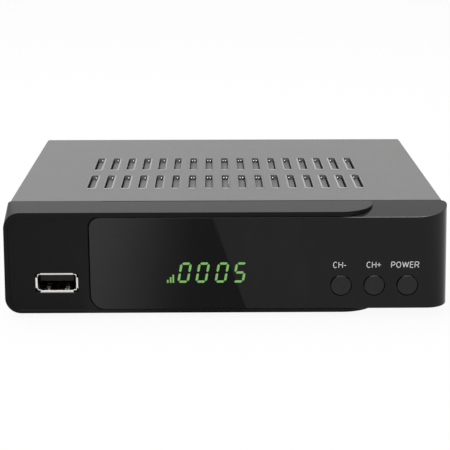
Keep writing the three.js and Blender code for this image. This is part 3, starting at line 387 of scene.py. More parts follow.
def skin(name, rings, closed=False):
    """A solid through a row of rings, with an end face on each side or closed into a loop."""
    count, points = len(rings[0]), [point for ring in rings for point in ring]
    faces = []
    for r in range(len(rings) if closed else len(rings) - 1):
        this, following = r * count, (r + 1) % len(rings) * count
        for i in range(count):
            j = (i + 1) % count
            faces.append((this + i, this + j, following + j, following + i))
    if not closed:
        faces += [tuple(range(count)), tuple(range(len(points) - count, len(points)))]
    return build(name, points, faces)


def prism_x(name, shape, x0, x1):
    return skin(name, [[(x, u, v) for u, v in shape] for x in (x0, x1)])


def prism_y(name, shape, y0, y1):
    return skin(name, [[(u, y, v) for u, v in shape] for y in (y0, y1)])


def prism_z(name, shape, z0, z1):
    return skin(name, [[(u, v, z) for u, v in shape] for z in (z0, z1)])


def block(name, xs, ys, zs):
    return prism_z(name, [(xs[0], ys[0]), (xs[1], ys[0]), (xs[1], ys[1]), (xs[0], ys[1])], *zs)


def turned(name, profile, centre, sides=48, axis="y"):
    """A profile of (radius, distance along the axis), spun round it as on a lathe."""

    def spot(radius, along, a):
        p, q = radius * math.cos(a), radius * math.sin(a)
        offset = {"x": (along, p, q), "y": (p, along, q), "z": (p, q, along)}[axis]
        return tuple(c + o for c, o in zip(centre, offset))

    angles = [2 * math.pi * i / sides for i in range(sides)]
    return skin(name, [[spot(radius, along, a) for a in angles] for radius, along in profile])


# %% [markdown]
# ## Cutting, joining and softening
#
# A toolmaker's solids are joined and cut. Blender's Boolean modifier does both, and its result is
# frozen into a plain mesh. A real edge is never sharp: a narrow bevel catches a thin line of
# light along it, which is what makes a moulding look solid in the photograph.

# %% Booleans and bevels
def freeze(piece):
    graph = bpy.context.evaluated_depsgraph_get()
    mesh = bpy.data.meshes.new_from_object(piece.evaluated_get(graph))
    piece.modifiers.clear()
    old = piece.data
    piece.data = mesh
    bpy.data.meshes.remove(old)
    return piece


def combine(piece, others, operation):
    for other in others:
        step = piece.modifiers.new(operation.lower(), "BOOLEAN")
        step.operation = operation
        step.solver = "EXACT"
        step.object = other
    freeze(piece)
    for other in others:
        bpy.data.objects.remove(other)
    return piece


def gathered(name, pieces):
    whole = bmesh.new()
    for piece in pieces:
        whole.from_mesh(piece.data)
        bpy.data.objects.remove(piece)
    mesh = bpy.data.meshes.new(name)
    whole.to_mesh(mesh)
    whole.free()
    return put(name, mesh)


def cleaned(piece):
    """Points closer than 0.004 mm become one, and flat sides become single faces again."""
    whole = bmesh.new()
    whole.from_mesh(piece.data)
    bmesh.ops.remove_doubles(whole, verts=whole.verts, dist=0.004 * MM)
    bmesh.ops.dissolve_limit(whole, angle_limit=math.radians(0.2), verts=whole.verts, edges=whole.edges)
    whole.to_mesh(piece.data)
    whole.free()
    return piece


def softened(piece, width, segments=2, angle=32):
    bevel = piece.modifiers.new("soft_edges", "BEVEL")
    bevel.width = width * MM
    bevel.segments = segments
    bevel.limit_method = "ANGLE"
    bevel.angle_limit = math.radians(angle)
    bevel.use_clamp_overlap = False
    bevel.miter_outer = "MITER_ARC"
    return freeze(piece)


# %% [markdown]
# ## Light that lies flat
#
# Smooth shading averages the directions of the faces round each corner. On a cut solid one flat
# side is many thin triangles, and their average leaves streaks on gloss. Blender's own
# Weighted Normal modifier weighs one triangle at a time; here all the triangles of one flat side
# count together, by their whole area, so flats stay flat and only the narrow bevels turn.

# %% Normals by flat side
def flat_sides(whole):
    side_of, areas = {}, []
    for seed in whole.faces:
        if seed.index in side_of:
            continue
        side_of[seed.index] = len(areas)
        area, waiting = 0.0, [seed]
        while waiting:
            face = waiting.pop()
            area += face.calc_area()
            for edge in face.edges:
                for other in edge.link_faces:
                    if other.index not in side_of and other.normal.dot(seed.normal) > 0.99999:
                        side_of[other.index] = len(areas)
                        waiting.append(other)
        areas.append(area)
    return side_of, areas


def evenly_lit(piece, sharp=50):
    whole = bmesh.new()
    whole.from_mesh(piece.data)
    bmesh.ops.remove_doubles(whole, verts=whole.verts, dist=0.001 * MM)
    bmesh.ops.triangulate(whole, faces=[face for face in whole.faces if len(face.verts) > 4])
    whole.to_mesh(piece.data)
    whole.faces.index_update()
    side_of, areas = flat_sides(whole)
    limit, normals = math.cos(math.radians(sharp)), []
    for face in whole.faces:
        for corner in face.loops:
            joined = [f for f in corner.vert.link_faces if f.normal.dot(face.normal) > limit]
            near = {side_of[f.index]: f.normal for f in joined}
            total = sum((normal * areas[side] for side, normal in near.items()), Vector())
            normals.append(total.normalized() if total.length > 0 else face.normal.copy())
    whole.free()
    piece.data.shade_smooth()
    piece.data.normals_split_custom_set(normals)
    return piece


def finished(piece, slot, *replaced, body="receiver", look=None):
    piece.data.materials.clear()
    piece.data.materials.append(look or finishes[slot])
    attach(piece, body)
    if replaced:
        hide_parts(*replaced)
    print(piece.name, "faces:", len(piece.data.polygons), "stands for:", list(replaced))
    return piece


# %% [markdown]
# ## The steel cover
#
# One folded sheet is the top and both sides of the case. A press has lanced two rows of long
# louvres in it: each tongue stays joined at the rear, bends down steeply there and dips forwards
# under the sheet. Cutting the slots and adding the tongues as solids gives the dark side gaps and
# the raised punched rims for real; a bump texture would look right only from one side. The
# bright slopes of the rims are a painted highlight in the paint's colour.

# %% Sizes and outlines of the cover
CASE_HALF, CASE_BOTTOM, CASE_TOP = 72.45, 3.0, 37.2
SHEET, BEND = 0.8, 0.9
COVER_FRONT, COVER_REAR = 12.4, 112.4
LOUVRES, LOUVRE_PITCH, LOUVRE_WIDTH, LOUVRE_LENGTH = 17, 5.88, 2.5, 19.6
LOUVRE_ROWS = (COVER_FRONT + 26.5, COVER_FRONT + 54.7)
LOUVRE_CORNER, LOUVRE_STEP, LOUVRE_BEND, LOUVRE_DROP = 0.9, 1.5, 0.6, 1.75
LOUVRE_GAP, TONGUE_SHEET, TONGUE_START, TONGUE_OVERLAP = 0.16, 0.5, 0.06, 0.5
RIM_PROFILE = [(0.85, -0.05), (0.80, 0.0), (0.50, 0.12), (0.28, 0.27),
               (0.14, 0.30), (0.02, 0.24), (-0.03, 0.10), (-0.03, -0.25)]


def cover_outline():
    inner, under = BEND - SHEET, CASE_TOP - SHEET
    return [
        (-CASE_HALF, CASE_BOTTOM),
        (-CASE_HALF + SHEET, CASE_BOTTOM),
        *arc(-CASE_HALF + SHEET + inner, under - inner, inner, 2 * QUARTER, QUARTER, 8),
        *arc(CASE_HALF - SHEET - inner, under - inner, inner, QUARTER, 0, 8),
        (CASE_HALF - SHEET, CASE_BOTTOM),
        (CASE_HALF, CASE_BOTTOM),
        *arc(CASE_HALF - BEND, CASE_TOP - BEND, BEND, 0, QUARTER, 8),
        *arc(-CASE_HALF + BEND, CASE_TOP - BEND, BEND, QUARTER, 2 * QUARTER, 8),
    ]


def louvre_outline(x, y, shrink, past=0):
    half, corner = LOUVRE_WIDTH / 2 - shrink, LOUVRE_CORNER - shrink
    front, back = y - LOUVRE_LENGTH / 2 + shrink, y + LOUVRE_LENGTH / 2 - shrink + past
    return [
        *arc(x - half + corner, front + corner, corner, 2 * QUARTER, 3 * QUARTER, 8),
        *arc(x + half - corner, front + corner, corner, 3 * QUARTER, 4 * QUARTER, 8),
        *arc(x, back - half, half, 0, 2 * QUARTER, 16),
    ]


middle_louvre = (LOUVRES - 1) / 2
louvre_places = [((i - middle_louvre) * LOUVRE_PITCH, y) for y in LOUVRE_ROWS for i in range(LOUVRES)]
print("louvres:", len(louvre_places), "in a cover", 2 * CASE_HALF, "mm wide")


# %% Press the louvres
def tongue(x, y):
    front, back = y - LOUVRE_LENGTH / 2, y + LOUVRE_LENGTH / 2
    half, start = LOUVRE_WIDTH / 2 - LOUVRE_GAP, CASE_TOP - TONGUE_START
    crest = [(back + TONGUE_OVERLAP, start)]
    for i in range(9):
        share = i / 8
        ease = share * share * (3 - 2 * share)
        crest.append((back - 0.1 - LOUVRE_BEND * share, start - (LOUVRE_STEP - TONGUE_START) * ease))
    crest.append((front + LOUVRE_GAP, CASE_TOP - LOUVRE_DROP))
    under = [(u, v - TONGUE_SHEET) for u, v in reversed(crest)]
    strip = prism_x("strip", crest + under, x - half, x + half)
    plan = louvre_outline(x, y, LOUVRE_GAP, TONGUE_OVERLAP)
    tip = prism_z("tip", plan, CASE_TOP - LOUVRE_DROP - 2 * SHEET, CASE_TOP + 1)
    return combine(strip, [tip], "INTERSECT")


def raised_rim(x, y):
    rings = [[(u, v, CASE_TOP + rise) for u, v in louvre_outline(x, y, -grow)] for grow, rise in RIM_PROFILE]
    return skin("rim", rings, closed=True)


cover = prism_y("cover_shell", cover_outline(), COVER_FRONT, COVER_REAR)
combine(cover, [gathered("rims", [raised_rim(x, y) for x, y in louvre_places])], "UNION")
slots = [prism_z("slot", louvre_outline(x, y, 0), CASE_TOP - 2, CASE_TOP + 1) for x, y in louvre_places]
combine(cover, [gathered("slots", slots)], "DIFFERENCE")
combine(cover, [gathered("tongues", [tongue(x, y) for x, y in louvre_places])], "UNION")
evenly_lit(softened(cleaned(cover), 0.06, 1, 60))
finished(cover, "steel_paint", "top_cover")

# %% [markdown]
# ## Bright spots in the louvres
#
# Close to its bend each tongue carries one or two small nubs where the press tool has
# burnished the metal. In the photograph they are pin-points of light. They are turned caps
# with a metal finish; painting them on the tongue would lose their sparkle.

# %% Turn the nubs
NUB_RADIUS, NUB_DEPTH, NUB_LEVEL, NUB_BACK = 0.40, 0.36, 0.95, 0.65


def nub(x, y):
    cap = [(NUB_RADIUS * math.cos(a), -NUB_DEPTH * math.sin(a)) for a in quarter_turn(5)[:-1]]
    profile = [(NUB_RADIUS, 0.3), *cap, (0.02, -NUB_DEPTH)]
    return turned("nub", profile, (x, y + LOUVRE_LENGTH / 2 - NUB_BACK, CASE_TOP - NUB_LEVEL), 12)


nubs = []
for x, y in louvre_places:
    spots = (-0.5, 0.5) if abs(x) < 3 * LOUVRE_PITCH else (math.copysign(0.42, -x),)
    nubs += [nub(x + spot, y) for spot in spots]
louvre_nubs = gathered("louvre_nubs", nubs)
louvre_nubs.data.shade_smooth()
finished(louvre_nubs, "nickel")

# %% [markdown]
# ## The front frame
#
# A satin moulding sleeves the left end of the front. Its square back meets the steel and
# its face has rounded corners, so the body is a skin between two outlines. A shallow recess
# leaves a raised rim, the gloss panel nests in a cut of its own shape, and a rounded
# hole lets the memory-stick socket through.

# %% Sizes of the front
BEZEL_DEPTH, BEZEL_BOTTOM, BEZEL_REAR = 12.4, 1.85, 12.25
FRAME_TOP, FRAME_FLARE, REAR_STEP, DRAFT = 36.4, 0.75, 0.6, 0.35
FRAME_CORNER, REAR_CORNER, FRAME_WALL = 5.4, 1.0, 1.6
RIM, RECESS, RECESS_CORNER = 1.5, 0.4, 3.9
STRIP_END, STRIP_CORNER, STRIP_DEPTH, STRIP_LEAN = 48.6, 12.0, 10.0, 1.6
PANEL_LEFT, PANEL_BOTTOM, PANEL_TOP, PANEL_BACK_TOP = -45.1, 3.2, 34.6, 37.1
PANEL_WALL, PANEL_GAP, PANEL_LOW_CORNER, PANEL_HIGH_CORNER = 1.8, 0.2, 5, 3.5
LOW_SWEEP, HIGH_SWEEP = (7.5, 7.5), (12.0, 10.5)
LOW_REACH, HIGH_REACH, TAIL_REACH = 1.55, 1.05, 0.05


def lerp(first, last, share):
    return first + (last - first) * share


def frame_ring(y):
    share = y / BEZEL_DEPTH
    side = CASE_HALF + lerp(FRAME_FLARE, REAR_STEP, share)
    radius = lerp(FRAME_CORNER, REAR_CORNER, share)
    top = lerp(FRAME_TOP, CASE_TOP, share)
    middle, draft = (BEZEL_BOTTOM + top) / 2, (1 - share) * DRAFT
    shape = [
        *arc(-side + radius, top - radius, radius, QUARTER, 2 * QUARTER, 24),
        *arc(-side + radius, BEZEL_BOTTOM + radius, radius, 2 * QUARTER, 3 * QUARTER, 24),
        (STRIP_END + STRIP_LEAN + 1, BEZEL_BOTTOM),
        (STRIP_END + STRIP_LEAN + 1, top),
    ]
    lean = lambda x, z: draft * (z - middle) / (middle - BEZEL_BOTTOM) if x < 0 else 0
    return [(x + lean(x, z), y, z) for x, z in shape]


def frame_plan(z, lean):
    past, end = -(CASE_HALF + FRAME_FLARE + 1), STRIP_END + lean
    turn = arc(0, 0, 1, -QUARTER, 0, 40)
    sweep = [(end - STRIP_CORNER + u * STRIP_CORNER, STRIP_DEPTH * (1 + v)) for u, v in turn]
    shape = [(past, -1), (end - STRIP_CORNER, -1), *sweep, (end, BEZEL_DEPTH + 1), (past, BEZEL_DEPTH + 1)]
    return [(x, y, z) for x, y in shape]


print("the front is", BEZEL_DEPTH, "mm deep and", round(CASE_TOP - BEZEL_BOTTOM, 2), "mm tall")

# %% [markdown]
# ## The outline of the gloss panel
#
# The panel starts beside the memory-stick socket, runs along the front and wraps round the
# right end. Drawn in plan its corner is a quarter of an ellipse, tighter at the bottom than at
# the top, and a slow curve leads from there back to the steel cover. The same function, moved
# outwards, also cuts the panel's nest in the frame.

# %% The panel's body
def panel_ring(z, inset):
    share = (z - PANEL_BOTTOM) / (PANEL_BACK_TOP - PANEL_BOTTOM)
    side = CASE_HALF + lerp(LOW_REACH, HIGH_REACH, share) - inset
    wide, deep = (lerp(low, high, share) - inset for low, high in zip(LOW_SWEEP, HIGH_SWEEP))
    tail, past = CASE_HALF + TAIL_REACH - inset, BEZEL_DEPTH + 3
    widest = inset + deep
    back = BEZEL_REAR - widest
    shape = [
        (PANEL_LEFT + inset, past),
        (PANEL_LEFT + inset, inset),
        *[(side - wide + u * wide, widest + v * deep) for u, v in arc(0, 0, 1, -QUARTER, 0, 48)],
        *[(side - (side - tail) * step * step, widest + step * back) for step in (i / 8 for i in range(1, 9))],
        (tail, past),
    ]
    return [(x, y, z) for x, y in shape]


def panel_body(name, inset, back):
    low, high = PANEL_BOTTOM + inset, PANEL_BACK_TOP + 1
    left, right, top = PANEL_LEFT + inset, CASE_HALF + 4, PANEL_TOP - inset
    top_at = lambda y: lerp(PANEL_TOP, PANEL_BACK_TOP, y / BEZEL_DEPTH) - inset
    body = skin(name, [panel_ring(low, inset), panel_ring(high, inset)])
    side_view = [(-1, low - 1), (back, low - 1), (back, top_at(back)), (-1, top_at(-1))]
    slope = prism_x("slope", side_view, left - 1, right)
    radii = (PANEL_LOW_CORNER - inset, 0, 0, PANEL_HIGH_CORNER - inset)
    face = prism_y("face", rounded(left, right, low, top, radii, 24), -1, back)
    above = block("above", (left + PANEL_HIGH_CORNER, right), (-1, back), (top - 1, high + 1))
    combine(face, [above], "UNION")
    return combine(body, [slope, face], "INTERSECT")


print("the panel's corner at the top is", HIGH_SWEEP, "mm, at the bottom", LOW_SWEEP)

# %% Lips and tabs inside the front
TAB_X, TAB_HOLE, INSIDE = 56.0, 18.4, 70.9
TAB_LEVEL, LIP_HEIGHT = (3.85, 5.45), (8.2, 29.6)


def side_lip(sign):
    reach = (BEZEL_REAR - 4, BEZEL_DEPTH + 3)
    tongue_x = sorted((sign * (INSIDE - 1), sign * INSIDE))
    root_x = sorted((sign * (INSIDE - 1), sign * (CASE_HALF - 0.3)))
    lip_block = block("side_lip", tongue_x, reach, LIP_HEIGHT)
    return combine(lip_block, [block("root", root_x, (reach[0], BEZEL_REAR), LIP_HEIGHT)], "UNION")


def floor_tab(x):
    across = (x - 8, x + 8)
    tab = block("floor_tab", across, (BEZEL_REAR - 5, BEZEL_DEPTH + 12), TAB_LEVEL)
    root = block("root", across, (BEZEL_REAR - 5, BEZEL_REAR), (PANEL_BOTTOM, TAB_LEVEL[1]))
    combine(tab, [root], "UNION")
    return combine(tab, [turned("hole", [(1.4, 0), (1.4, 8)], (x, TAB_HOLE, 0), 24, "z")], "DIFFERENCE")


print("each tab has its screw hole at y =", TAB_HOLE)

# %% [markdown]
# ## Building the frame
#
# The round holes and the socket's mouth are cut after the bevels, by a cutter that widens
# towards the face. A bevel run over such a hole at the end would also do it, but it tends to
# tear where the hole meets a side made of many triangles.

# %% Cut the frame
USB_X, USB_Z, USB_FLARE, USB_MARGIN = -56.25, 12.24, 0.5, 0.12
USB_HALF_WIDTH, USB_HALF_HEIGHT, USB_SHEET = 6.25, 2.56, 0.3
half_hole = USB_HALF_WIDTH + USB_SHEET + USB_FLARE + USB_MARGIN
high_hole = USB_HALF_HEIGHT + USB_SHEET + USB_FLARE + USB_MARGIN


def widening(name, outline_at, reach, edge):
    """A cutter whose mouth widens in a quarter round of the edge's radius."""
    steps = [(edge * (1 - math.sin(a)), edge * (1 - math.cos(a))) for a in quarter_turn(5)]
    rounds = [(grow, reach[0] + deep) for grow, deep in steps]
    depths = [(edge + 0.2, reach[0] - 0.2), *rounds, (0, reach[1])]
    return skin(name, [[(u, y, v) for u, v in outline_at(grow)] for grow, y in depths])


def socket_mouth(grow):
    wide, tall = half_hole + grow, high_hole + grow
    return rounded(USB_X - wide, USB_X + wide, USB_Z - tall, USB_Z + tall, (1.2 + grow,) * 4, 8)


frame_shell = skin("frame_shell", [frame_ring(0), frame_ring(BEZEL_REAR)])
plan = skin("plan", [frame_plan(BEZEL_BOTTOM - 1, STRIP_LEAN), frame_plan(CASE_TOP + 1, 0)])
combine(frame_shell, [plan], "INTERSECT")
recess_outline = rounded(
    -(CASE_HALF + FRAME_FLARE - RIM), PANEL_LEFT + 7, PANEL_BOTTOM - PANEL_GAP, PANEL_TOP + PANEL_GAP,
    (RECESS_CORNER, 0, 0, RECESS_CORNER), 20,
)
cavity = block(
    "cavity", (-(CASE_HALF - FRAME_WALL + REAR_STEP), PANEL_LEFT - PANEL_GAP),
    (RECESS + FRAME_WALL, BEZEL_DEPTH + 1), (BEZEL_BOTTOM + FRAME_WALL, FRAME_TOP - FRAME_WALL),
)
recess = prism_y("recess", recess_outline, -1, RECESS)
combine(frame_shell, [cavity, recess, panel_body("nest", -PANEL_GAP, BEZEL_DEPTH + 1)], "DIFFERENCE")
softened(cleaned(frame_shell), 0.16)
combine(frame_shell, [widening("mouth", socket_mouth, (RECESS, 4), 0.15)], "DIFFERENCE")
combine(frame_shell, [side_lip(-1), floor_tab(-TAB_X)], "UNION")
finished(evenly_lit(frame_shell), "satin_black", "front_frame")

# %% [markdown]
# ## The gloss panel and its keys
#
# The panel is a thin shell, so a smaller copy of its body is taken out of it. Three round
# holes take the keys. Each key is a shallow dish turned on a lathe, with a chamfer round it
# that has a painted highlight where it faces up, and rides on its own body so that it goes in
# when it is pressed.

# %% Build the panel
KEYS = {"channel_down": 37.75, "channel_up": 48.75, "power": 59.75}
KEY_Z, KEY_RADIUS, KEY_GAP, KEY_PROUD = 11.24, 3.3, 0.3, 0.3

panel = panel_body("panel_shell", 0, BEZEL_REAR)
combine(panel, [panel_body("hollow", PANEL_WALL, BEZEL_DEPTH + 1)], "DIFFERENCE")
softened(cleaned(panel), 0.17, 3)
for x in KEYS.values():
    ring = lambda grow: arc(x, KEY_Z, KEY_RADIUS + KEY_GAP + grow, 0, 4 * QUARTER, 72)[:-1]
    combine(panel, [widening("bore", ring, (0, 4), 0.12)], "DIFFERENCE")
top_lip = block("top_lip", (-41, 68.35), (BEZEL_REAR - PANEL_WALL, BEZEL_DEPTH + 3), (35.1, 36.1))
combine(panel, [top_lip, side_lip(1), floor_tab(TAB_X)], "UNION")
finished(evenly_lit(panel), "gloss_black", "front_panel")

# %% Turn the keys
DISH_RADIUS, DISH_DEPTH, KEY_EDGE = 2.75, 0.15, 0.25
COLLAR, STEM = 4.2, 1.5
AXIS = 0.05  # turned ends stop just short of the axis and close with a small flat face


def key_profile():
    dish = [(AXIS, -KEY_PROUD + DISH_DEPTH)]
    for share in (i / 8 for i in range(1, 9)):
        dish.append((share * DISH_RADIUS, -KEY_PROUD + DISH_DEPTH * (1 - share * share)))
    edge = [(KEY_RADIUS - KEY_EDGE + KEY_EDGE * math.sin(a), -KEY_PROUD + KEY_EDGE - KEY_EDGE * math.cos(a))
            for a in quarter_turn(5)]
    behind = [(KEY_RADIUS, 1.85), (COLLAR, 1.85), (COLLAR, 2.85), (STEM, 2.85), (STEM, 5.85), (AXIS, 5.85)]
    return [*dish, *edge, *behind]


for name, x in KEYS.items():
    key = turned(f"{name}_cap", key_profile(), (x, 0, KEY_Z), 64)
    key.data.shade_smooth()
    key.data.set_sharp_from_angle(angle=math.radians(35))
    finished(key, "gloss_black", f"{name}_button", body=f"{name}_key", look=key_look)

# %% [markdown]
# ## The memory-stick socket
#
# A folded metal shell with four flared lips stands in the hole of the frame. Its sheet is
# 0.3 mm thin, and each lip is a narrow strip whose edges shine. Spring fingers and small
# dimples press on a stick from below, and from the front they are bright points in the shell.

# %% Fold the shell
USB_FRONT, USB_BACK, LIP_RUN = 1.55, 14.9, 0.9


def usb_outline(grow, radius):
    """The inside of the socket, moved outwards."""
    wide, tall = USB_HALF_WIDTH + grow, USB_HALF_HEIGHT + grow
    return rounded(USB_X - wide, USB_X + wide, USB_Z - tall, USB_Z + tall, (radius,) * 4, 6)


def lip(inner):
    turn = quarter_turn(6)
    inside = [(LIP_RUN + USB_FLARE * (1 - math.sin(a)), inner + USB_FLARE * (1 - math.cos(a))) for a in turn]
    outside = [(y, v + USB_SHEET) for y, v in reversed(inside)]
    return [(1.85, inner), *inside, *outside, (1.85, inner + USB_SHEET)]


tube = prism_y("socket_shell", usb_outline(USB_SHEET, 0.6), USB_FRONT, USB_BACK)
combine(tube, [prism_y("bore", usb_outline(0, 0.4), 0, 16)], "DIFFERENCE")
springs = []
for sign in (1, -1):
    side_view = [(y, USB_Z + sign * v) for y, v in lip(USB_HALF_HEIGHT)]
    springs.append(prism_x("lip", side_view, USB_X - 5.45, USB_X + 5.45))
    top_view = [(USB_X + sign * v, y) for y, v in lip(USB_HALF_WIDTH)]
    springs.append(prism_z("lip", top_view, USB_Z - 1.8, USB_Z + 1.8))
for x in (USB_X - 3.05, USB_X + 3.35):
    rise = [(4.0, -2.5), (6.2, -1.75), (7.0, -1.75), (9.2, -2.5), (9.2, -2.65), (4.0, -2.65)]
    springs.append(prism_x("finger", [(y, USB_Z + v) for y, v in rise], x - 0.7, x + 0.7))
for x in (USB_X - 2.75, USB_X + 2.85, USB_X + 3.8):
    dimple = [(0.42, 0), (0.40, 0.16), (0.28, 0.34), (0.02, 0.42)]
    springs.append(turned("dimple", dimple, (x, 2.0, USB_Z - 2.66), 12, "z"))
combine(tube, springs, "UNION")
softened(cleaned(tube), 0.04, 1)
finished(tube, "nickel", "usb_shell")

# %% Set in the contact blade
blade = block("socket_blade", (USB_X - 5.55, USB_X + 5.55), (2.5, 13.0), (USB_Z + 0.21, USB_Z + 2.06))
softened(blade, 0.15)
combine(blade, [prism_y("carrier", usb_outline(-0.1, 0.5), 12.9, USB_BACK)], "UNION")
dark_blade = moulded("blade_moulding", (0.009, 0.0084, 0.0072), 0.55, specular_ior_level=0.2)
finished(evenly_lit(blade), "black_plastic", "usb_tongue", look=dark_blade)
contacts = [block("contact", (x - 0.5, x + 0.5), (3.1, 12.95), (USB_Z + 0.06, USB_Z + 0.23))
            for x in (USB_X - 3.5, USB_X - 1.0, USB_X + 1.0, USB_X + 3.5)]
gold = metal("gold_plate", (0.72, 0.50, 0.20), (0.86, 0.62, 0.28), 0.2, 1200)
finished(evenly_lit(gathered("socket_contacts", contacts)), "nickel", look=gold)

# %% [markdown]
# ## Aerial sockets at the back
#
# Each aerial socket is a threaded barrel held by a hexagon nut. The thread is turned as a row
# of ridges, close enough to a real one at this size, and the nut is a hexagon
# cut by a cone, which gives its corners their curved chamfers. A bump would leave the
# outline smooth; here the ridges show in it.

# %% Turn the barrels and nuts
BARREL, FLANGE, MOUTH, WELL = 4.75, 5.8, 3.1, 0.6
THREAD_PITCH, THREAD_DEPTH = 0.8, 0.42


def drawn_box(node):
    """A node's middle, lowest and highest point in the drawing's millimetres."""
    low, high = ([p.x / MM, (p.y - FACE) / MM, p.z / MM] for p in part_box(node))
    return [(a + b) / 2 for a, b in zip(low, high)], low, high


def ridges(start, end):
    made = []
    for i in range(int((end - start) / THREAD_PITCH)):
        made += [(BARREL, start + i * THREAD_PITCH), (BARREL - THREAD_DEPTH, start + (i + 0.5) * THREAD_PITCH)]
    return made


def barrel(node):
    (x, _, z), (_, back, _), (_, reach, _) = drawn_box(node)
    foot = [(AXIS, back), (FLANGE, back), (FLANGE, back + 0.9), (BARREL, back + 0.9)]
    mouth = [(4.3, reach), (MOUTH, reach), (MOUTH, reach - 1.4)]
    well = [(WELL, reach - 1.4), (WELL, reach - 6), (AXIS, reach - 6)]
    profile = [*foot, *ridges(back + 1.2, reach - 0.2), *mouth, *well]
    finished(evenly_lit(turned(node + "_thread", profile, (x, 0, z), 40), 40), "nickel", node)
    low, high = reach - 1.42, reach - 1.1
    disc = turned(node + "_insulator", [(AXIS, low), (3.05, low), (3.05, high), (AXIS, high)], (x, 0, z), 32)
    combine(disc, [turned("hole", [(0.55, reach - 2), (0.55, reach)], (x, 0, z), 16)], "DIFFERENCE")
    finished(disc, "cream_plastic")


def hexagon_nut(node):
    (x, _, z), low, high = drawn_box(node)
    wide, first, last, tall = high[0] - low[0], low[1], high[1], high[2] - low[2]
    corner, start = max(wide, tall) / 2, 0 if wide > tall else QUARTER / 3
    turns = [start + i * QUARTER * 2 / 3 for i in range(6)]
    outline = [(x + corner * math.cos(a), z + corner * math.sin(a)) for a in turns]
    body = prism_y(node + "_hexagon", outline, first, last)
    flat, past = corner * 0.87, corner + 0.1
    cone = [(AXIS, first), (flat, first), (past, first + 0.5), (past, last - 0.5), (flat, last), (AXIS, last)]
    combine(body, [turned("cone", cone, (x, 0, z), 48)], "INTERSECT")
    combine(body, [turned("bore", [(4.8, first - 1), (4.8, last + 1)], (x, 0, z), 40)], "DIFFERENCE")
    finished(evenly_lit(body, 30), "nickel", node)


for way in ("in", "out"):
    barrel(f"lnb_{way}_socket")
    hexagon_nut(f"lnb_{way}_nut")

# %% [markdown]
# ## Screws and feet
#
# Four pan-head screws hold the cover, and each stopped at its own angle when it was driven.
# The head is turned, then a cross is cut in it. The feet are rubber buttons whose lower
# edge is rounded, so that a dark line runs under the case where they touch the table.

# %% Cut the crosses and turn the feet
HEAD, SHANK, HEAD_DEPTH, CROWN = 2.8, 1.2, 1.15, 0.9
CROSS_REACH, CROSS_HALF = 1.55, 0.34


def cross(y, z, turn):
    r, h = CROSS_REACH, CROSS_HALF
    half_star = [(h, r), (-h, r), (-h, h), (-r, h), (-r, -h), (-h, -h)]
    star = half_star + [(-u, -v) for u, v in half_star]
    c, s = math.cos(turn), math.sin(turn)
    return [(y + u * c - v * s, z + u * s + v * c) for u, v in star]


def cover_screw(node, turn):
    (_, y, z), low, high = drawn_box(node)
    out = 1 if high[0] > 0 else -1
    tip, top = (low[0], high[0]) if out > 0 else (high[0], low[0])
    at = lambda depth: top - out * depth
    crown = [(HEAD - (1 - math.cos(a)), at(CROWN - CROWN * math.sin(a))) for a in quarter_turn(5)]
    neck = [(AXIS, tip), (SHANK, tip), (SHANK, at(HEAD_DEPTH)), (HEAD, at(HEAD_DEPTH))]
    screw = turned(node + "_head", [*neck, *crown, (AXIS, top - out * 0.001)], (0, y, z), 32, "x")
    combine(screw, [prism_x("cross", cross(y, z, turn), *sorted((at(0.95), at(-0.5))))], "DIFFERENCE")
    finished(evenly_lit(screw, 40), "nickel", node)


def foot(node, name):
    (x, y, _), _, (_, _, top) = drawn_box(node)
    button = [(AXIS, 0), (4.6, 0), (5.05, 0.12), (5.3, 0.5), (5.9, top - 0.3), (6.0, top), (AXIS, top)]
    finished(evenly_lit(turned(name, button, (x, y, 0), 48, "z"), 40), "rubber", node)


for where, turn in (("front_left", 0.3), ("front_right", 1.1), ("rear_left", 0.75), ("rear_right", 0.1)):
    cover_screw(f"cover_screw_{where}", turn)
    foot(f"foot_{where}", f"rubber_button_{where}")

# %% [markdown]
# ## The lit digits
#
# Behind the smoked panel four seven-segment digits and three bars are lit. From outside
# one sees only their light, slightly soft at its edges, at the panel's face. Very thin
# glowing strips on the face give that light from every side; a picture on the panel
# would not slant with it.

# %% Shape the segments
DIGIT_W, DIGIT_H, STROKE, SLANT, DIGIT_Z, SEGMENT_GAP = 3.82, 7.0, 0.78, 1.25, 12.36, 0.20
CENTRES = [-13.92, -7.98, -1.61, 4.30]
BARS = ((-19.52, 1.05), (-18.55, 1.95), (-17.68, 2.8))
BAR_HALF, GLOW_HALF = 0.27, 0.03
SEGMENTS = {
    "a": ((0, 1), (1, 1)), "b": ((1, 1), (1, 0.5)), "c": ((1, 0.5), (1, 0)), "d": ((0, 0), (1, 0)),
    "e": ((0, 0.5), (0, 0)), "f": ((0, 1), (0, 0.5)), "g": ((0, 0.5), (1, 0.5)),
}
ZERO, FIVE = "abcdef", "afgcd"


def segment(start, end):
    half = STROKE / 2
    spot = lambda uv: Vector(((uv[0] - 0.5) * (DIGIT_W - STROKE), half + uv[1] * (DIGIT_H - STROKE)))
    first, last = spot(start), spot(end)
    along = (last - first).normalized()
    across = Vector((-along.y, along.x)) * half
    first, last = first + along * SEGMENT_GAP, last - along * SEGMENT_GAP
    corners = [first, first + along * half - across, last - along * half - across,
               last, last - along * half + across, first + along * half + across]
    return [(p.x + SLANT * (p.y - DIGIT_H / 2) / DIGIT_H, DIGIT_Z + p.y) for p in corners]


print("a nought has", len(ZERO), "segments and a five", len(FIVE))


# %% Light them
def digit_glow():
    finish = Finish("green_display_light", roughness=0.3, specular_ior_level=0.1, emission_strength=1.0)
    finish.set(base_color=(0.004, 0.006, 0.004, 1))
    finish.set(emission_color=finish.mix(finish.noise(900), (0.155, 0.395, 0.095), (0.25, 0.51, 0.16)))
    return finish.material


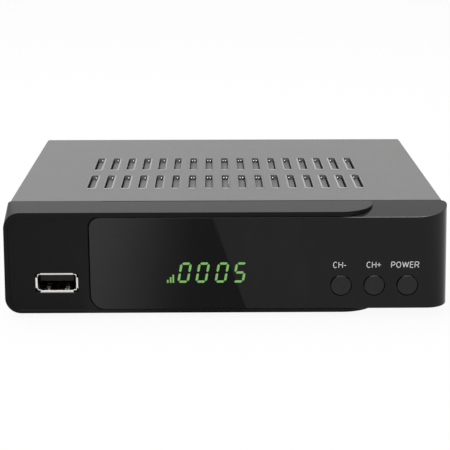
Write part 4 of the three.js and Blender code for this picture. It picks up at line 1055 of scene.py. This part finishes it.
strips = []
for centre, figure in zip(CENTRES, (ZERO, ZERO, ZERO, FIVE)):
    for letter in figure:
        shape = [(centre + u, v) for u, v in segment(*SEGMENTS[letter])]
        strips.append(prism_y("strip", shape, -GLOW_HALF, GLOW_HALF))
for middle, rise in BARS:
    across = (middle - BAR_HALF, middle + BAR_HALF)
    strips.append(block("bar", across, (-GLOW_HALF, GLOW_HALF), (DIGIT_Z, DIGIT_Z + rise)))
finished(gathered("lit_display", strips), "display_grey", look=digit_glow())

# %% [markdown]
# ## Words beside the keys
#
# The three functions are screen printed in pale grey. Blender's text object would need a
# font; these letters are drawn as pen strokes of one width, like the print, and stand
# a few hundredths of a millimetre proud, about as thick as real ink.

# %% The alphabet
INK, INK_HALF, LETTER_GAP = 0.23, 0.02, 0.31


def bowl(low, high, right):
    radius = (high - low) / 2
    return [(0, high), *arc(right - radius, low + radius, radius, QUARTER, -QUARTER, 10), (0, low)]


def ellipse(wide, first, last):
    turns = [math.radians(first + (last - first) * i / 28) for i in range(29)]
    return [(wide * (0.5 + 0.5 * math.cos(a)), 0.5 + 0.5 * math.sin(a)) for a in turns]


LETTERS = {
    "C": (0.65, [ellipse(0.68, 48, 312)]),
    "H": (0.68, [[(0, 0), (0, 1)], [(0.68, 0), (0.68, 1)], [(0, 0.52), (0.68, 0.52)]]),
    "-": (0.27, [[(-0.05, 0.40), (0.32, 0.40)]]),
    "+": (0.53, [[(-0.06, 0.50), (0.59, 0.50)], [(0.265, 0.17), (0.265, 0.83)]]),
    "P": (0.65, [[(0, 0), (0, 1)], bowl(0.45, 1, 0.65)]),
    "O": (0.76, [ellipse(0.76, 0, 360)]),
    "W": (1.14, [[(0, 1), (0.29, 0)], [(0.29, 0), (0.57, 1)], [(0.57, 1), (0.85, 0)], [(0.85, 0), (1.14, 1)]]),
    "E": (0.57, [[(0, 0), (0, 1)], [(0, 0), (0.57, 0)], [(0, 0.52), (0.53, 0.52)], [(0, 1), (0.56, 1)]]),
    "R": (0.72, [[(0, 0), (0, 1)], bowl(0.47, 1, 0.70), [(0.40, 0.47), (0.72, 0)]]),
}
print("letters drawn:", "".join(LETTERS))


# %% Print the words
def pale_print():
    finish = Finish("pale_print", roughness=0.5)
    finish.set(base_color=finish.mix(finish.noise(4000), (0.82, 0.82, 0.82), (0.90, 0.90, 0.90)))
    return finish.material


def pen(line):
    """The two sides of a stroke of even width along a line."""
    points = [Vector(p) for p in line]
    sides = ([], [])
    for i, point in enumerate(points):
        before, after = points[max(i - 1, 0)], points[min(i + 1, len(points) - 1)]
        across = (after - before).normalized().orthogonal() * INK / 2
        sides[0].append(tuple(point + across))
        sides[1].append(tuple(point - across))
    return sides


def word(name, text, left, right, low, high):
    advance, lines = 0.0, []
    for letter in text:
        wide, strokes = LETTERS[letter]
        lines += [[(advance + u, v) for u, v in stroke] for stroke in strokes]
        advance += wide + LETTER_GAP
    across = (right - left - INK) / (advance - LETTER_GAP)
    tall = high - low - INK
    strips = []
    for line in lines:
        upper, lower = pen([(left + INK / 2 + u * across, low + INK / 2 + v * tall) for u, v in line])
        rings = [[(a, -INK_HALF, b), (c, -INK_HALF, d), (c, INK_HALF, d), (a, INK_HALF, b)]
                 for (a, b), (c, d) in zip(upper, lower)]
        strips.append(skin("stroke", rings))
    return gathered(name, strips)


WORDS = (
    ("channel_down_word", "CH-", 35.0, 39.30),
    ("channel_up_word", "CH+", 46.05, 50.80),
    ("power_word", "POWER", 54.15, 63.43),
)
WORD_LOW, WORD_HIGH = 17.25, 19.4
printed = pale_print()
for name, text, left, right in WORDS:
    finished(word(name, text, left, right, WORD_LOW, WORD_HIGH), "cream_plastic", look=printed)

# %% [markdown]
# ## Floor, light and camera
#
# A product photograph on white: one large soft light overhead, white all round, and a floor that
# fades into it. The floor's colour and Light Path nodes make it white for the eye and for
# mirrors, so that no extra light falls on the object.

# %% The floor and the white world
WHITE = (1, 1, 1, 1)


def seen_share(graph):
    """1 for what the eye, a mirror or glass sees, and 0 for what lights the object."""
    rays = ("Is Camera Ray", "Is Glossy Ray", "Is Transmission Ray")
    eye, mirror, glass = [graph.node("ShaderNodeLightPath", output=ray) for ray in rays]
    return eye + mirror + glass


def white_floor():
    finish = Finish("white_floor", roughness=0.9, specular_ior_level=0.0)
    finish.set(base_color=(0.9, 0.9, 0.9, 1))
    lit = Value(finish, finish.shader.outputs[0])
    white = finish.node("ShaderNodeEmission", None, {"Color": WHITE, "Strength": 1.0})
    share = seen_share(finish) * 0.93
    finish.show(finish.node("ShaderNodeMixShader", None, {"Fac": share, 1: lit, 2: white}))
    return finish.material


def white_world():
    world = bpy.data.worlds.new("studio")
    sky = Graph(world)
    shine = lambda strength: sky.node("ShaderNodeBackground", None, {"Color": WHITE, "Strength": strength})
    fill, white = shine(0.55), shine(1.0)
    sky.show(sky.node("ShaderNodeMixShader", None, {"Fac": seen_share(sky), 1: fill, 2: white}))
    return world


def sheet(name, corners, look):
    mesh = bpy.data.meshes.new(name)
    mesh.from_pydata(corners, [], [(0, 1, 2, 3)])
    mesh.materials.append(look)
    return put(name, mesh)


floor = sheet("floor", [(-3, -3, 0), (3, -3, 0), (3, 3, 0), (-3, 3, 0)], white_floor())
bpy.context.scene.world = white_world()
print("world and floor made")


# %% The lamp
def soft_lamp(name, place_at, aim, size, power):
    light = bpy.data.lights.new(name, "AREA")
    light.shape = "RECTANGLE"
    light.size, light.size_y = size
    light.energy = power
    lamp = put(name, light)
    lamp.location = place_at
    lamp.rotation_euler = (Vector(aim) - Vector(place_at)).to_track_quat("-Z", "Y").to_euler()
    return lamp


lamp = soft_lamp("overhead", (-0.15, 0.05, 0.9), (0, 0, 0.02), (0.9, 0.7), 6.0)
print("lamp:", lamp.name, lamp.data.energy, "W")

# %% [markdown]
# ## The card that the panel mirrors
#
# Gloss black shows whatever stands in front of it. A card lying just above the floor, brighter to
# the left, is seen only by mirror rays: it gives the panel its grey sheen with a slanted edge and
# lights nothing else. Painting the sheen on the panel would keep it there from every side.

# %% Lay the card
def card_light():
    finish = Finish("mirror_card")
    share = finish.ramp(finish.point("X"), -0.055, -0.008)
    colour = finish.mix(share, (0.95, 0.95, 0.95), (0.205, 0.205, 0.205))
    finish.show(finish.node("ShaderNodeEmission", None, {"Color": colour, "Strength": 2.15}))
    return finish.material


card_corners = [(-0.0462, -0.0605), (0.0072, -0.0605), (-0.0062, -0.200), (-0.0606, -0.200)]
card = sheet("mirror_card", [(x, y, 0.001) for x, y in card_corners], card_light())
card.visible_camera = card.visible_diffuse = card.visible_shadow = card.visible_transmission = False
print("card:", [round(v, 3) for v in card.dimensions])

# %% [markdown]
# ## The camera
#
# The angle, height and lens were worked out from the corners of the case and the round keys in
# the photograph: a long lens, about half a metre away, looking down by sixteen degrees.

# %% Set the camera
CAMERA_AT, LENS = (-0.00477, -0.45032, 0.14140), 99.35
DOWN, TURN, ROLL = (math.radians(a) for a in (15.653, 0.612, -0.049))


def studio_camera():
    lens = bpy.data.cameras.new("camera")
    lens.lens = LENS
    lens.sensor_width = 36
    lens.sensor_fit = "HORIZONTAL"
    lens.clip_start, lens.clip_end = 0.01, 20
    camera = put("camera", lens)
    turns = ((-TURN, "Z"), (QUARTER - DOWN, "X"), (ROLL, "Z"))
    aside, upright, level = (Matrix.Rotation(angle, 3, axis) for angle, axis in turns)
    camera.matrix_world = Matrix.Translation(CAMERA_AT) @ (aside @ upright @ level).to_4x4()
    return camera


bpy.context.scene.camera = studio_camera()
bpy.context.scene.view_settings.view_transform = "Standard"
print("camera rows", [[round(v, 5) for v in row] for row in bpy.context.scene.camera.matrix_world])
